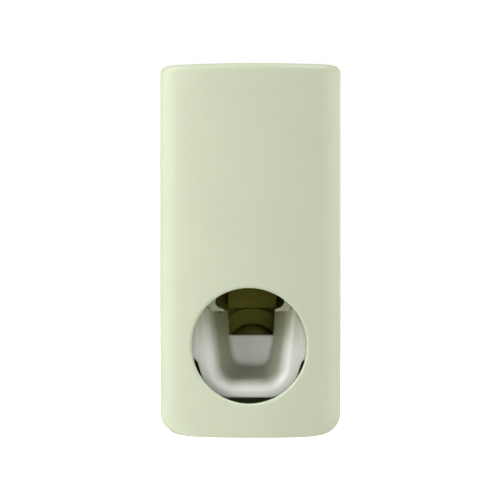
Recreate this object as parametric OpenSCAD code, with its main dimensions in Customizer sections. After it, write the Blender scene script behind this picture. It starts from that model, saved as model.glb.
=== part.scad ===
// Wall-mounted toothpaste dispenser with a pull-off cover and a push lever.
// The origin is the middle of the adhesive pad's wall face.
// The wall is the plane y = 0, the front looks along -Y and +Z is up.

/* [Front cover] */
// Width of the cover
cover_w = 72; // [70:0.5:80]
// Height of the cover
cover_h = 146.5; // [140:0.5:170]
// Depth from the wall to the middle of the front
depth = 58; // [57:0.5:64]
// Wall thickness of the cover
cover_wall = 2; // [1.6:0.1:2.4]
// Gap between the cover's rear edge and the wall
wall_gap = 2.5; // [2:0.1:3.5]
// Radius of the front's crown
crown_r = 85; // [75:1:110]
// Radius of the upright front corners
side_r = 11.6; // [10:0.1:14]
// Fillet round the top
top_r = 2.8; // [2.5:0.1:4]
// Radius of the bottom corners, seen from the front
foot_r = 8.5; // [7:0.5:11]
// Diameter of the brush window
window_d = 44.6; // [42:0.2:46]
// Height of the window's middle above the bottom
window_up = 36.1; // [35:0.1:40]

/* [Wall bracket] */
// Height of the bracket's middle above the bottom
bracket_up = 88; // [86:0.5:92]
// Width of the adhesive pad and bracket
pad_w = 46; // [44:1:50]
// Height of the adhesive pad and bracket
pad_h = 60; // [56:1:64]
// Thickness of the adhesive pad
pad_t = 0.8; // [0.5:0.1:1.2]
// Thickness of the bracket plate
bracket_t = 2; // [1.5:0.1:2.5]
// Width of the tongue's head
tongue_w = 32; // [30:0.5:34]
// Width of the tongue's neck
tongue_neck_w = 24; // [22:0.5:26]
// Thickness of the tongue's head
tongue_t = 2; // [1.5:0.1:2.4]
// Height of the tongue
tongue_h = 52; // [44:1:52]

/* [Back plate] */
// Thickness of the back plate
plate_t = 2.4; // [2:0.1:2.8]
// Thickness of the back plate's rim
rim_t = 1.6; // [1.2:0.1:2]
// Depth of the back plate's rim
rim_h = 7; // [5:0.5:9]
// Thickness of the lips that hook behind the tongue
lip_t = 1.2; // [1:0.1:1.6]
// Thickness of the rails beside the tongue
rail_t = 2; // [1.6:0.1:2.4]

/* [Push lever] */
// Width of the lever over its ears
ear_w = 48; // [46:0.5:49]
// Width of the cup below its ears
cup_w = 40.8; // [39:0.2:42]
// Depth of the cup's bottom edge below the window's middle
cup_drop = 20.7; // [20:0.1:22]
// Thickness of the cup's front lip
cup_lip_t = 2.4; // [2:0.1:3]
// Wall thickness of the cup's channel
cup_wall = 2; // [1.6:0.1:2.2]
// Width of the channel's mouth
mouth_w = 28.4; // [26:0.2:30]
// Width of the channel at the push panel
panel_w = 17.8; // [17:0.2:19]
// Distance from the mouth to the push panel
channel_len = 17.7; // [16:0.1:18.5]
// Height of the push panel's top edge over the window's middle
panel_top = 2.9; // [2:0.1:5]
// Width of the arms beside the cup
arm_t = 3.6; // [3:0.1:4.2]
// Height of the pivot over the window's middle
pivot_up = 33.5; // [33.4:0.1:34]
// Distance from the socket's axis forward to the pivot
pivot_fwd = 10; // [9.6:0.1:11]
// Diameter of the pivot pin
pin_d = 2.5; // [2:0.1:2.6]
// Diameter of the pressing boss
boss_d = 12.4; // [11:0.2:12.8]

/* [Pump] */
// Thickness of the housing's cheeks beside the lever
cheek_t = 2.7; // [2.4:0.1:3.2]
// Thickness of the housing's deck
deck_t = 2.5; // [2.4:0.1:3.5]
// Diameter of the pump chamber
chamber_d = 20; // [19:0.1:20.4]
// Depth of the pump chamber
chamber_t = 4; // [3.6:0.1:4.2]
// Wall behind the pump chamber
floor_t = 1.7; // [1.6:0.1:2]
// Height of the diaphragm's dome
dome_h = 7; // [6:0.1:7.5]
// Thickness of the silicone diaphragm
skin_t = 1.5; // [1.2:0.1:1.8]
// Thickness of the clamp ring over the diaphragm's flange
ring_t = 2; // [1.6:0.1:2.2]
// Height of the outlet duct over the window's middle
outlet_up = 28.5; // [28.3:0.1:28.7]
// Diameter of the outlet duct
outlet_d = 3.6; // [3:0.1:4]
// Outer diameter of the outlet nozzle
nozzle_d = 6; // [5.6:0.1:6.2]
// Distance from the front to the nozzle's tip
nozzle_in = 17; // [15.5:0.1:18]
// Diameter of the inlet duct
inlet_d = 4; // [3.4:0.1:4.4]

/* [Tube socket] */
// Diameter of the bore for the tube's neck
neck_d = 13; // [11:0.2:14]
// Depth of the bore for the tube's neck
neck_len = 8.5; // [7:0.5:12]
// Wall thickness of the socket
socket_wall = 4; // [3:0.2:4.4]
// Distance from the back plate forward to the socket's axis
socket_fwd = 18.7; // [18.4:0.1:20]
// Thickness of the socket's flange
socket_flange_t = 2; // [1.6:0.1:2.4]

/* [Fasteners] */
// Diameter of the housing screws
screw_d = 3; // [2.6:0.1:3.2]
// Diameter of the small screws in the two clamp rings
small_screw_d = 1.8; // [1.6:0.1:2]

/* [Hidden] */

$fn = 64;
sage = "#ccd2b8";
deep_sage = "#b4bb9e";
bone = "#e9ebe4";
silicone = "#a9ad94";
steel = "#b9bdc0";
foam = "#8d9296";

// Clearances
slide_gap = 0.3;
run_gap = 0.05;
seat_gap = 0.02;
loose_gap = 0.1;
cut = 1;

// Heights
bottom_z = -bracket_up;
top_z = bottom_z + cover_h;
window_z = bottom_z + window_up;

// Planes from the wall to the pump
bracket_y = -pad_t - bracket_t;
tongue_y = bracket_y - lip_t - 2 * slide_gap;
plate_back = tongue_y - tongue_t - slide_gap;
plate_front = plate_back - plate_t;

// The planes of the pump, counted back from the front
housing_back = depth + plate_front;
plate_in = depth + plate_back;
flange_in = housing_back - floor_t - chamber_t;
ring_in = flange_in - skin_t;
dome_in = ring_in - dome_h;
socket_in = housing_back - socket_fwd;
pivot_in = socket_in - pivot_fwd;

// Cover and back plate
inner_top_r = 1;
foot_inner_r = foot_r - cover_wall;
bead_r = 0.8;
bead_proud = 0.2;
bead_len = 16;
bracket_corner_r = 4;
stop_t = 2.5;
bumper_r = 3.5;
bumper_x = cover_w / 2 - cover_wall - bumper_r - 2;
bumper_up = 14;
wall_clear = 0.2;

// Depth of the crowned front at a distance from its middle
function crown_sag(x) = crown_r - sqrt(crown_r * crown_r - x * x);

// Lever
ear_x = ear_w / 2;
lip_gap = 0.84;
cup_lip_in = cover_wall + crown_sag(ear_x) + lip_gap;
panel_in = cup_lip_in + channel_len;
boss_in = panel_in + cup_wall;
boss_tip = dome_in - slide_gap;
hub_wall = 2;
hub_r = pin_d / 2 + hub_wall;
press_up = -4;
cup_waist = -6.6;
ear_rise = 2.4;
cup_corner_r = 8;
cup_tuck = 2.2;
rim_w = 5.5;
mouth_drop = cup_drop - rim_w;
mouth_corner_r = 5;
mouth_taper = 1.2;
floor_rise = 5.8;
panel_drop = mouth_drop - floor_rise;
panel_corner_r = 3.6;
panel_taper = 1.5;
cup_top = 25;
channel_top = 12.8;
yoke_depth = 4.7;
notch_in = cup_lip_in + yoke_depth;
notch_r = 4;
lip_top = 15;
lip_corner_r = 4.5;
lip_back = cup_lip_in + cup_lip_t;
yoke_lap = 0.5;
yoke_x = mouth_w / 2 - yoke_lap;

// Pump housing
cheek_x = ear_x + slide_gap;
housing_x = cheek_x + cheek_t;
housing_low = -24;
deck_gap = 0.75;
deck_low = pivot_up + hub_r + deck_gap;
deck_top = deck_low + deck_t;
deck_set_back = 5.7;
deck_in = cup_lip_in + deck_set_back;
cheek_set_back = 4;
cheek_in = deck_in + cheek_set_back;
cheek_knee = 26;
dome_lap = 0.2;
dome_r = chamber_d / 2 + dome_lap;
dome_corner_r = 3;
flange_w = 4.4;
flange_r = chamber_d / 2 + flange_w;
ring_bore_gap = 0.5;
ring_bore_r = dome_r + ring_bore_gap;
ring_wall = 2.6;
ring_r = flange_r + ring_wall;
ring_screw_r = flange_r + small_screw_d * 0.75;
tower_t = 7;
tower_in = flange_in - tower_t;
tower_x = 10;
tower_gap = 0.4;
tower_low = press_up + ring_r + tower_gap;
duct_back_wall = 2.85;
duct_in = housing_back - duct_back_wall;
inlet_x = 7;
inlet_roof = 0.5;
inlet_up = deck_low - inlet_d / 2 - inlet_roof;
inlet_boss_r = 7;
inlet_floor = 0.6;
inlet_boss_low = inlet_up - inlet_d / 2 - inlet_floor;
plug_gap = 0.6;

// Inlet valve
valve_r = 5;
valve_t = 1.2;
valve_hole_r = 3;
beak_r = 2.4;
beak_len = 3.5;
slit_t = 0.3;

// Tube socket and its collar
socket_r = neck_d / 2 + socket_wall;
socket_flange_w = 2.4;
socket_flange_r = socket_r + socket_flange_w;
socket_base = 1;
socket_top = deck_top + socket_base + neck_len;
lead_in = 0.8;
collar_t = 2;
collar_wall = 2.7;
collar_r = socket_flange_r + collar_wall;
collar_screw_r = socket_flange_r + collar_wall / 2 + run_gap;

// Nozzle
nozzle_r = nozzle_d / 2;
nozzle_flange_w = 2;
nozzle_flange_r = nozzle_r + nozzle_flange_w;
nozzle_flange_t = 2;
nozzle_flat = inlet_boss_low - loose_gap;
spigot_wall = 0.8;
spigot_r = outlet_d / 2 + spigot_wall;
spigot_len = 4;
seal_r = 0.5;
seal_gap = 0.03;
seal_ring_r = spigot_r + seal_r;
tip_low = 22.6;
tip_floor = 1.2;
tip_t = 1;
tip_h = 2.3;
tip_slit = 4;

// Screws, pin and clip
screw_len = 6.6;
screw_head_d = 1.8 * screw_d;
screw_head_t = 1.6;
screw_x = 20;
screw_up = [-18, 15];
small_head_w = 0.6;
small_head_d = small_screw_d + 2 * small_head_w;
small_head_t = 0.9;
small_len = 5.6;
pin_head_w = 1;
pin_head_r = pin_d / 2 + pin_head_w;
pin_head_t = 1;
pin_end = 1.6;
clip_t = 0.6;
clip_w = 1.3;
clip_r = pin_d / 2 + clip_w;
clip_groove_depth = 0.35;
clip_groove_r = pin_d / 2 - clip_groove_depth;

// Points of an arc about a centre, from one angle to another
function arc(centre, r, a0, a1, steps) = [
    for (i = [0:steps])
        let (a = a0 + (a1 - a0) * i / steps)
        [centre[0] + r * cos(a), centre[1] + r * sin(a)]
];

// Plan of a skin of the cover, narrowed at the sides and inset all round
function skin_plan(narrow, inset, back) =
    let (
        big = crown_r - inset,
        small = side_r - inset,
        side = cover_w / 2 - narrow - inset,
        middle = crown_r - depth,
        corner_x = side - small,
        corner_y = middle - sqrt(pow(big - small, 2) - corner_x * corner_x),
        turn = asin(corner_x / (big - small)),
        step = turn / 6
    )
    concat(
        [[-side, back]],
        arc([-corner_x, corner_y], small, 180, 270 - turn, 8),
        arc([0, middle], big, 270 - turn + step, 270 + turn - step, 10),
        arc([corner_x, corner_y], small, 270 + turn, 360, 8),
        [[side, back]]
    );

// Levels of a skin from bottom to top: height, narrowing and inset
function skin_levels(inset, low_r, high_r) = concat(
    [for (a = [0:9:90]) [bottom_z + inset + low_r * (1 - cos(a)), low_r * (1 - sin(a)), inset]],
    [for (a = [0:15:90]) [top_z - inset - high_r * (1 - sin(a)), 0, inset + high_r * (1 - cos(a))]]
);

// A solid through closed rings of equal length
module loft(rings) {
    n = len(rings[0]);
    last = len(rings) - 1;
    polyhedron(
        points = [for (ring = rings) each ring],
        faces = concat(
            [[for (i = [0:n - 1]) i]],
            [
                for (k = [0:last - 1], i = [0:n - 1])
                    let (j = (i + 1) % n)
                    each [
                        [k * n + i, (k + 1) * n + i, (k + 1) * n + j],
                        [k * n + i, (k + 1) * n + j, k * n + j]
                    ]
            ],
            [[for (i = [n - 1:-1:0]) last * n + i]]
        ),
        convexity = 6
    );
}

// A skin of the cover: an outline inset from the outside, open or closed at the back
module cover_skin(inset, low_r, high_r, back) {
    loft([
        for (level = skin_levels(inset, low_r, high_r))
            [for (p = skin_plan(level[1], level[2], back)) [p[0], p[1], level[0]]]
    ]);
}

// The window's frame: y is counted back from the front and z up from the window's middle
module at_window() {
    translate([0, -depth, window_z]) children();
}

// A cylinder along Y at a place in XZ
module along_y(x, z, r, y0, y1) {
    translate([x, y0, z]) rotate([-90, 0, 0]) cylinder(r = r, h = y1 - y0);
}

// A cylinder along X at a place in YZ
module along_x(y, z, r, x0, x1) {
    translate([x0, y, z]) rotate([0, 90, 0]) cylinder(r = r, h = x1 - x0);
}

// A cylinder along Z at a place in XY
module along_z(x, y, r, z0, z1) {
    translate([x, y, z0]) cylinder(r = r, h = z1 - z0);
}

// A flat drawing in XZ made into a plate between two depths
module plate_y(y0, y1) {
    translate([0, y1, 0]) rotate([90, 0, 0]) linear_extrude(y1 - y0) children();
}

// A flat drawing in YZ made into a plate between two sides
module plate_x(x0, x1) {
    translate([x0, 0, 0]) rotate([90, 0, 90]) linear_extrude(x1 - x0) children();
}

// A block between two corners
module block(low, high) {
    translate(low) cube([high[0] - low[0], high[1] - low[1], high[2] - low[2]]);
}

// A rounded rectangle about the origin
module soft_rect(w, h, r) {
    square([w - 2 * r, h], center = true);
    square([w, h - 2 * r], center = true);
    for (x = [-1, 1], y = [-1, 1])
        translate([x * (w / 2 - r), y * (h / 2 - r)]) circle(r = r);
}

// A pan-headed small screw along +Z, seated at z = 0
module small_screw() {
    cylinder(d = small_screw_d, h = small_len);
    translate([0, 0, -small_head_t]) cylinder(d = small_head_d, h = small_head_t);
}

// Centres of the housing screws
module at_housing_screws() {
    for (x = [-screw_x, screw_x], z = screw_up) translate([x, 0, z]) children();
}

// Centres of the screws in the diaphragm's ring
module at_ring_screws() {
    for (a = [45:90:315])
        translate([ring_screw_r * cos(a), 0, press_up + ring_screw_r * sin(a)]) children();
}

// Centres of the screws in the socket's collar
module at_collar_screws() {
    for (a = [90:120:330])
        translate([collar_screw_r * cos(a), socket_in + collar_screw_r * sin(a), 0]) children();
}

// The moulded cover, open at the back, with the brush window in its front
module front_cover() {
    color(sage) difference() {
        cover_skin(0, foot_r, top_r, -wall_gap);
        cover_skin(cover_wall, foot_inner_r, inner_top_r, cut - wall_gap);
        at_window() along_y(0, 0, window_d / 2, -cut, cup_lip_in);
    }
}

// Outline of the back plate in XZ, drawn in from the cover's inside
module back_outline(inset) {
    w = cover_w / 2 - cover_wall - inset;
    low = bottom_z + cover_wall + inset;
    high = top_z - cover_wall - inset;
    r = foot_inner_r - inset;
    c = inner_top_r;
    polygon([
        [-w, low + r], [-w, high - c], [c - w, high], [w - c, high],
        [w, high - c], [w, low + r], [w - r, low], [r - w, low]
    ]);
    for (x = [r - w, w - r]) translate([x, low + r]) circle(r = r);
}

// The plate behind the pump, with a rim for the cover and rails for the wall bracket
module back_plate() {
    rail_x = tongue_w / 2 + slide_gap;
    rail_back = bracket_y - slide_gap;
    half = tongue_h / 2;
    bead_x = cover_w / 2 - cover_wall - slide_gap + bead_proud - bead_r;
    bead_y = plate_front - rim_h / 2;
    color(deep_sage) difference() {
        union() {
            plate_y(plate_front, plate_back) back_outline(slide_gap);
            plate_y(plate_front - rim_h, plate_front) difference() {
                back_outline(slide_gap);
                back_outline(slide_gap + rim_t);
            }
            for (side = [0, 1]) mirror([side, 0, 0]) {
                block([rail_x, plate_back, -half], [rail_x + rail_t, rail_back, half]);
                block([tongue_neck_w / 2 + slide_gap, rail_back - lip_t, -half], [rail_x + rail_t, rail_back, half]);
                for (z = [bottom_z / 2, top_z / 2])
                    along_z(bead_x, bead_y, bead_r, z - bead_len / 2, z + bead_len / 2);
            }
            block([-rail_x - rail_t, plate_back, half], [rail_x + rail_t, rail_back, half + stop_t]);
        }
        at_window() at_housing_screws() {
            along_y(0, 0, screw_d / 2 + seat_gap, housing_back - cut, plate_in + cut);
            translate([0, plate_in - screw_head_t, 0]) rotate([-90, 0, 0])
                cylinder(d1 = screw_d + 2 * seat_gap, d2 = screw_head_d + 2 * seat_gap, h = screw_head_t);
        }
    }
}

// The bracket that stays on the wall, with a tongue that the back plate hangs on
module wall_bracket() {
    color(bone) {
        plate_y(bracket_y, -pad_t) soft_rect(pad_w, pad_h, bracket_corner_r);
        plate_y(tongue_y, bracket_y) square([tongue_neck_w, tongue_h], center = true);
        plate_y(tongue_y - tongue_t, tongue_y) square([tongue_w, tongue_h], center = true);
    }
}

// The double-sided pad between the bracket and the wall
module adhesive_pad() {
    color(foam) plate_y(-pad_t, 0) soft_rect(pad_w, pad_h, bracket_corner_r);
}

// Two soft feet that keep the lower back off the wall
module wall_bumpers() {
    color(silicone) for (x = [-bumper_x, bumper_x])
        along_y(x, bottom_z + bumper_up, bumper_r, plate_back, -wall_clear);
}

// The pump's body: deck, cheeks, chamber and the ducts between them
module pump_housing() {
    color(sage) at_window() difference() {
        union() {
            block([-housing_x, flange_in, housing_low], [housing_x, housing_back, deck_top]);
            block([-housing_x, deck_in, deck_low], [housing_x, housing_back, deck_top]);
            block([-tower_x, tower_in, tower_low], [tower_x, flange_in, deck_low]);
            block([-inlet_boss_r, socket_in, inlet_boss_low], [inlet_boss_r, tower_in, deck_low]);
            along_z(0, socket_in, inlet_boss_r, inlet_boss_low, deck_low);
            for (side = [0, 1]) mirror([side, 0, 0]) plate_x(cheek_x, housing_x) polygon([
                [flange_in, housing_low], [flange_in, deck_low], [deck_in, deck_low],
                [deck_in, pivot_up - hub_r], [cheek_in, cheek_knee]
            ]);
        }
        along_y(0, press_up, chamber_d / 2, flange_in - cut, flange_in + chamber_t);
        along_z(0, duct_in, outlet_d / 2, press_up, outlet_up);
        along_y(0, outlet_up, outlet_d / 2, tower_in - cut, duct_in);
        along_y(0, outlet_up, spigot_r + seat_gap, tower_in - cut, tower_in + spigot_len);
        along_y(0, outlet_up, seal_ring_r + seal_r, tower_in - cut, tower_in + 2 * seal_r);
        along_z(inlet_x, duct_in, inlet_d / 2, press_up, deck_top + cut);
        along_x(duct_in, inlet_up, inlet_d / 2, 0, housing_x + cut);
        along_y(0, inlet_up, inlet_d / 2, socket_in - inlet_boss_r - cut, duct_in);
        along_z(0, socket_in, valve_hole_r, inlet_up, deck_top + cut);
        along_z(0, socket_in, valve_r + seat_gap, deck_top - valve_t, deck_top + cut);
        along_x(pivot_in, pivot_up, pin_d / 2 + seat_gap, -housing_x - cut, housing_x + cut);
        at_housing_screws() along_y(0, 0, screw_d / 2 + seat_gap, plate_in - screw_len, housing_back + cut);
        at_ring_screws()
            along_y(0, 0, small_screw_d / 2 + seat_gap, flange_in - cut, ring_in - ring_t + small_len);
        at_collar_screws()
            along_z(0, 0, small_screw_d / 2 + seat_gap, deck_top + 2 * collar_t - small_len, deck_top + cut);
    }
}

// Countersunk screws that hold the housing to the back plate
module housing_screws() {
    color(steel) at_window() at_housing_screws() translate([0, plate_in, 0]) rotate([90, 0, 0]) {
        cylinder(d1 = screw_head_d, d2 = screw_d, h = screw_head_t);
        cylinder(d = screw_d, h = screw_len);
    }
}

// Plugs in the moulded ducts' open ends
module duct_plugs() {
    r = inlet_d / 2 - seat_gap;
    start = inlet_d / 2 + plug_gap;
    color(deep_sage) at_window() {
        along_x(duct_in, inlet_up, r, inlet_x + start, housing_x);
        along_z(inlet_x, duct_in, r, inlet_up + start, deck_top);
        along_y(0, inlet_up, r, socket_in - inlet_boss_r, socket_in - valve_hole_r - seat_gap);
    }
}

// The silicone dome that the lever presses
module pump_diaphragm() {
    top = skin_t + dome_h;
    low_r = dome_corner_r - skin_t;
    color(silicone) at_window() translate([0, flange_in, press_up]) rotate([90, 0, 0])
        rotate_extrude() polygon(concat(
            [[flange_r, 0], [flange_r, skin_t], [dome_r, skin_t]],
            arc([dome_r - dome_corner_r, top - dome_corner_r], dome_corner_r, 0, 90, 6),
            [[0, top], [0, top - skin_t]],
            arc([dome_r - dome_corner_r, top - dome_corner_r], low_r, 90, 0, 6),
            [[dome_r - skin_t, 0]]
        ));
}

// The ring that clamps the diaphragm's flange
module diaphragm_ring() {
    color(deep_sage) at_window() difference() {
        along_y(0, press_up, ring_r, ring_in - ring_t, flange_in);
        along_y(0, press_up, ring_bore_r, ring_in - ring_t - cut, flange_in + cut);
        along_y(0, press_up, flange_r + seat_gap, ring_in, flange_in + cut);
        at_ring_screws() along_y(0, 0, small_screw_d / 2 + seat_gap, ring_in - ring_t - cut, flange_in + cut);
    }
}

// Small screws of the diaphragm's ring
module ring_screws() {
    color(steel) at_window() at_ring_screws()
        translate([0, ring_in - ring_t, 0]) rotate([-90, 0, 0]) small_screw();
}

// The duckbill valve under the socket
module inlet_valve() {
    color(silicone) at_window() difference() {
        union() {
            along_z(0, socket_in, valve_r, deck_top - valve_t, deck_top);
            along_z(0, socket_in, beak_r, deck_top - valve_t - beak_len, deck_top - valve_t);
        }
        along_z(0, socket_in, beak_r - valve_t / 2, deck_top - beak_len, deck_top + cut);
        block(
            [-beak_r, socket_in - slit_t / 2, deck_top - valve_t - beak_len - cut],
            [beak_r, socket_in + slit_t / 2, deck_top - beak_len]
        );
    }
}

// The silicone socket that the tube's neck is pushed into
module tube_socket() {
    color(silicone) at_window() difference() {
        union() {
            along_z(0, socket_in, socket_flange_r, deck_top, deck_top + socket_flange_t);
            along_z(0, socket_in, socket_r, deck_top, socket_top);
        }
        along_z(0, socket_in, valve_hole_r, deck_top - cut, socket_top);
        along_z(0, socket_in, neck_d / 2, socket_top - neck_len, socket_top + cut);
        translate([0, socket_in, socket_top - lead_in])
            cylinder(r1 = neck_d / 2, r2 = neck_d / 2 + lead_in, h = lead_in);
    }
}

// The collar that clamps the socket's flange to the deck
module socket_collar() {
    top = deck_top + 2 * collar_t;
    color(bone) at_window() difference() {
        along_z(0, socket_in, collar_r, deck_top, top);
        along_z(0, socket_in, socket_r + loose_gap, deck_top - cut, top + cut);
        along_z(0, socket_in, socket_flange_r + loose_gap, deck_top - cut, deck_top + socket_flange_t);
        at_collar_screws() along_z(0, 0, small_screw_d / 2 + seat_gap, deck_top - cut, top + cut);
    }
}

// Small screws of the socket's collar
module collar_screws() {
    color(steel) at_window() at_collar_screws()
        translate([0, 0, deck_top + 2 * collar_t]) rotate([180, 0, 0]) small_screw();
}

// The spout that carries the paste forward over the brush; a flat on its flange keeps it upright
module outlet_nozzle() {
    color(bone) at_window() difference() {
        union() {
            along_y(0, outlet_up, nozzle_r, nozzle_in, tower_in);
            intersection() {
                along_y(0, outlet_up, nozzle_flange_r, tower_in - nozzle_flange_t, tower_in);
                block([-nozzle_flange_r, nozzle_in, 0], [nozzle_flange_r, tower_in, nozzle_flat]);
            }
            along_y(0, outlet_up, spigot_r, tower_in, tower_in + spigot_len);
            along_z(0, nozzle_in, nozzle_r, tip_low + tip_floor, outlet_up);
            translate([0, nozzle_in, outlet_up]) sphere(r = nozzle_r);
        }
        along_y(0, outlet_up, outlet_d / 2, nozzle_in, tower_in + spigot_len + cut);
        along_z(0, nozzle_in, outlet_d / 2, tip_low, outlet_up);
        translate([0, nozzle_in, outlet_up]) sphere(r = outlet_d / 2);
    }
}

// The sealing ring round the nozzle's spigot
module nozzle_seal() {
    color(silicone) at_window() translate([0, tower_in + seal_r, outlet_up]) rotate([90, 0, 0])
        rotate_extrude() translate([seal_ring_r, 0]) circle(r = seal_r - seal_gap);
}

// The slit silicone cap on the nozzle
module nozzle_tip() {
    color(silicone) at_window() difference() {
        along_z(0, nozzle_in, nozzle_r + tip_t, tip_low, tip_low + tip_h);
        along_z(0, nozzle_in, nozzle_r + seat_gap, tip_low + tip_floor, tip_low + tip_h + cut);
        block(
            [-tip_slit / 2, nozzle_in - slit_t / 2, tip_low - cut],
            [tip_slit / 2, nozzle_in + slit_t / 2, tip_low + tip_floor + cut]
        );
    }
}

// Corners of the channel's cross-section: half its width, taper, bottom, corner and top
module channel_slice(half, taper, drop, corner, top, grow) {
    foot = half - taper - corner;
    for (x = [-foot, foot]) translate([x, corner - drop]) circle(r = corner + grow, $fn = 32);
    translate([-half - grow, 0]) square([2 * (half + grow), top]);
}

// The channel from mouth to panel as one solid, grown by a wall
module channel(grow, y0, y1, top) {
    hull() {
        plate_y(y0, y0 + slit_t) channel_slice(mouth_w / 2, mouth_taper, mouth_drop, mouth_corner_r, top, grow);
        plate_y(y1 - slit_t, y1) channel_slice(panel_w / 2, panel_taper, panel_drop, panel_corner_r, top, grow);
    }
}

// Front outline of the cup with its ears
module cup_outline() {
    foot = cup_w / 2 - cup_tuck - cup_corner_r;
    hull() {
        for (x = [-foot, foot]) translate([x, cup_corner_r - cup_drop]) circle(r = cup_corner_r, $fn = 32);
        translate([-cup_w / 2, cup_waist]) square([cup_w, ear_rise]);
    }
    polygon([
        [-cup_w / 2, cup_waist], [-ear_x, cup_waist + ear_rise], [-ear_x, cup_top],
        [ear_x, cup_top], [ear_x, cup_waist + ear_rise], [cup_w / 2, cup_waist]
    ]);
}

// The lever: a brush cup that hangs from its pivot and presses the diaphragm
module push_lever() {
    arm_x = ear_x - arm_t;
    color(bone) at_window() difference() {
        union() {
            plate_y(cup_lip_in, lip_back) cup_outline();
            plate_y(lip_back, notch_in) translate([-arm_x, 0]) square([2 * arm_x, cup_top]);
            channel(cup_wall, cup_lip_in, boss_in, cup_top);
            along_y(0, press_up, boss_d / 2, boss_in - slit_t, boss_tip);
            for (side = [0, 1]) mirror([side, 0, 0]) plate_x(arm_x, ear_x) hull() {
                translate([cup_lip_in, 0]) square([cup_lip_t, cup_top - cut]);
                translate([pivot_in, pivot_up]) circle(r = hub_r, $fn = 32);
            }
        }
        channel(0, cup_lip_in - cut, panel_in, cup_top + cut);
        block([-panel_w / 2, panel_in - cut, panel_top], [panel_w / 2, boss_in + cut, cup_top]);
        block([-yoke_x, lip_back - cut, channel_top], [yoke_x, notch_in + cut, cup_top + cut]);
        plate_x(-arm_x, arm_x) {
            translate([notch_in + notch_r, channel_top + notch_r]) circle(r = notch_r);
            translate([notch_in + notch_r, channel_top]) square([boss_in - notch_in, cup_top]);
            translate([notch_in, channel_top + notch_r]) square([boss_in - notch_in, cup_top]);
        }
        plate_y(cup_lip_in - cut, lip_back) difference() {
            translate([-arm_x, lip_top - lip_corner_r]) square([2 * arm_x, cup_top]);
            for (side = [0, 1]) mirror([side, 0]) {
                translate([mouth_w / 2 + lip_corner_r, lip_top - lip_corner_r]) circle(r = lip_corner_r);
                translate([mouth_w / 2 + lip_corner_r, 0]) square([arm_x, lip_top]);
            }
        }
        along_x(pivot_in, pivot_up, pin_d / 2 + run_gap, -housing_x, housing_x);
    }
}

// The steel pin that the lever swings on
module pivot_pin() {
    color(steel) at_window() difference() {
        union() {
            along_x(pivot_in, pivot_up, pin_d / 2, -housing_x - pin_head_t, housing_x + pin_end);
            along_x(pivot_in, pivot_up, pin_head_r, -housing_x - pin_head_t, -housing_x);
        }
        difference() {
            along_x(pivot_in, pivot_up, pin_d, housing_x, housing_x + clip_t);
            along_x(pivot_in, pivot_up, clip_groove_r, housing_x - cut, housing_x + clip_t + cut);
        }
    }
}

// The spring clip on the pin's end
module pin_clip() {
    color(steel) at_window() difference() {
        along_x(pivot_in, pivot_up, clip_r, housing_x + seat_gap, housing_x + clip_t - seat_gap);
        along_x(pivot_in, pivot_up, clip_groove_r + seat_gap, housing_x, housing_x + clip_t);
        block(
            [housing_x, pivot_in - clip_groove_r, pivot_up - clip_r - cut],
            [housing_x + clip_t, pivot_in + clip_groove_r, pivot_up]
        );
    }
}

front_cover();
back_plate();
wall_bracket();
adhesive_pad();
wall_bumpers();
pump_housing();
housing_screws();
duct_plugs();
pump_diaphragm();
diaphragm_ring();
ring_screws();
inlet_valve();
tube_socket();
socket_collar();
collar_screws();
outlet_nozzle();
nozzle_seal();
nozzle_tip();
push_lever();
pivot_pin();
pin_clip();
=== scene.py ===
"""Looks of a wall-hung toothpaste dispenser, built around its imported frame.

Sizes inside the classes are millimetres in the object's own frame: the wall is the plane y = 0, the front
looks along -Y and +Z is up. Meshes are made in metres. Places around the pump are counted from the brush
window: x to the right, a depth behind the front and a height over the window's middle.
"""

import logging
import math
from collections.abc import Callable, Sequence
from dataclasses import dataclass, field, replace
from enum import Enum
from typing import NamedTuple

import bmesh
import bpy
import numpy as np
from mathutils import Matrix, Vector


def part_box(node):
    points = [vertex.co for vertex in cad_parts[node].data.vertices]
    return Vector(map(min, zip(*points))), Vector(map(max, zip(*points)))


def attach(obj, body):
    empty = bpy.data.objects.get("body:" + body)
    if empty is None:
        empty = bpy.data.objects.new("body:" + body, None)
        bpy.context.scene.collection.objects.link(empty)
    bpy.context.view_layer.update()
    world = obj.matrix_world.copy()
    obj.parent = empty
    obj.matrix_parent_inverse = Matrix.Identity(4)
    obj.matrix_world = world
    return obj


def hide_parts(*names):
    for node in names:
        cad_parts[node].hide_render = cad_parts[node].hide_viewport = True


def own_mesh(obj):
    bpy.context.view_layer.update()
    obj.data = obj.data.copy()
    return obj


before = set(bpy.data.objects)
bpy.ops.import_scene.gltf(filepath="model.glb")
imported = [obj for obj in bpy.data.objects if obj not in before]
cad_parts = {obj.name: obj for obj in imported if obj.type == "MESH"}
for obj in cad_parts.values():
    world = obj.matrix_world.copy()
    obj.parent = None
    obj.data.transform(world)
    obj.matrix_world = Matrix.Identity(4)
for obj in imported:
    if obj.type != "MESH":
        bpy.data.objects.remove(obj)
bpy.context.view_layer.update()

LOG = logging.getLogger("dispenser")
MM = 0.001
Point = tuple[float, float, float]
Flat = tuple[float, float]
Colour = tuple[float, float, float, float]
Width = float | np.ndarray
Piece = bpy.types.Object
Socket = bpy.types.NodeSocket


# Measuring


def corners(node: str) -> tuple[np.ndarray, np.ndarray]:
    """Gives a CAD node's box at rest.

    Args:
        node: The node's name.

    Returns:
        The lowest and the highest corner, in millimetres.
    """
    low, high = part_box(node)
    return np.array(low) / MM, np.array(high) / MM


class Spot(NamedTuple):
    """Places counted from the window, as three rows of numbers or as the axes of a grid."""

    x: np.ndarray
    depth: np.ndarray
    up: np.ndarray


Field = Callable[[Spot], np.ndarray]


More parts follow.
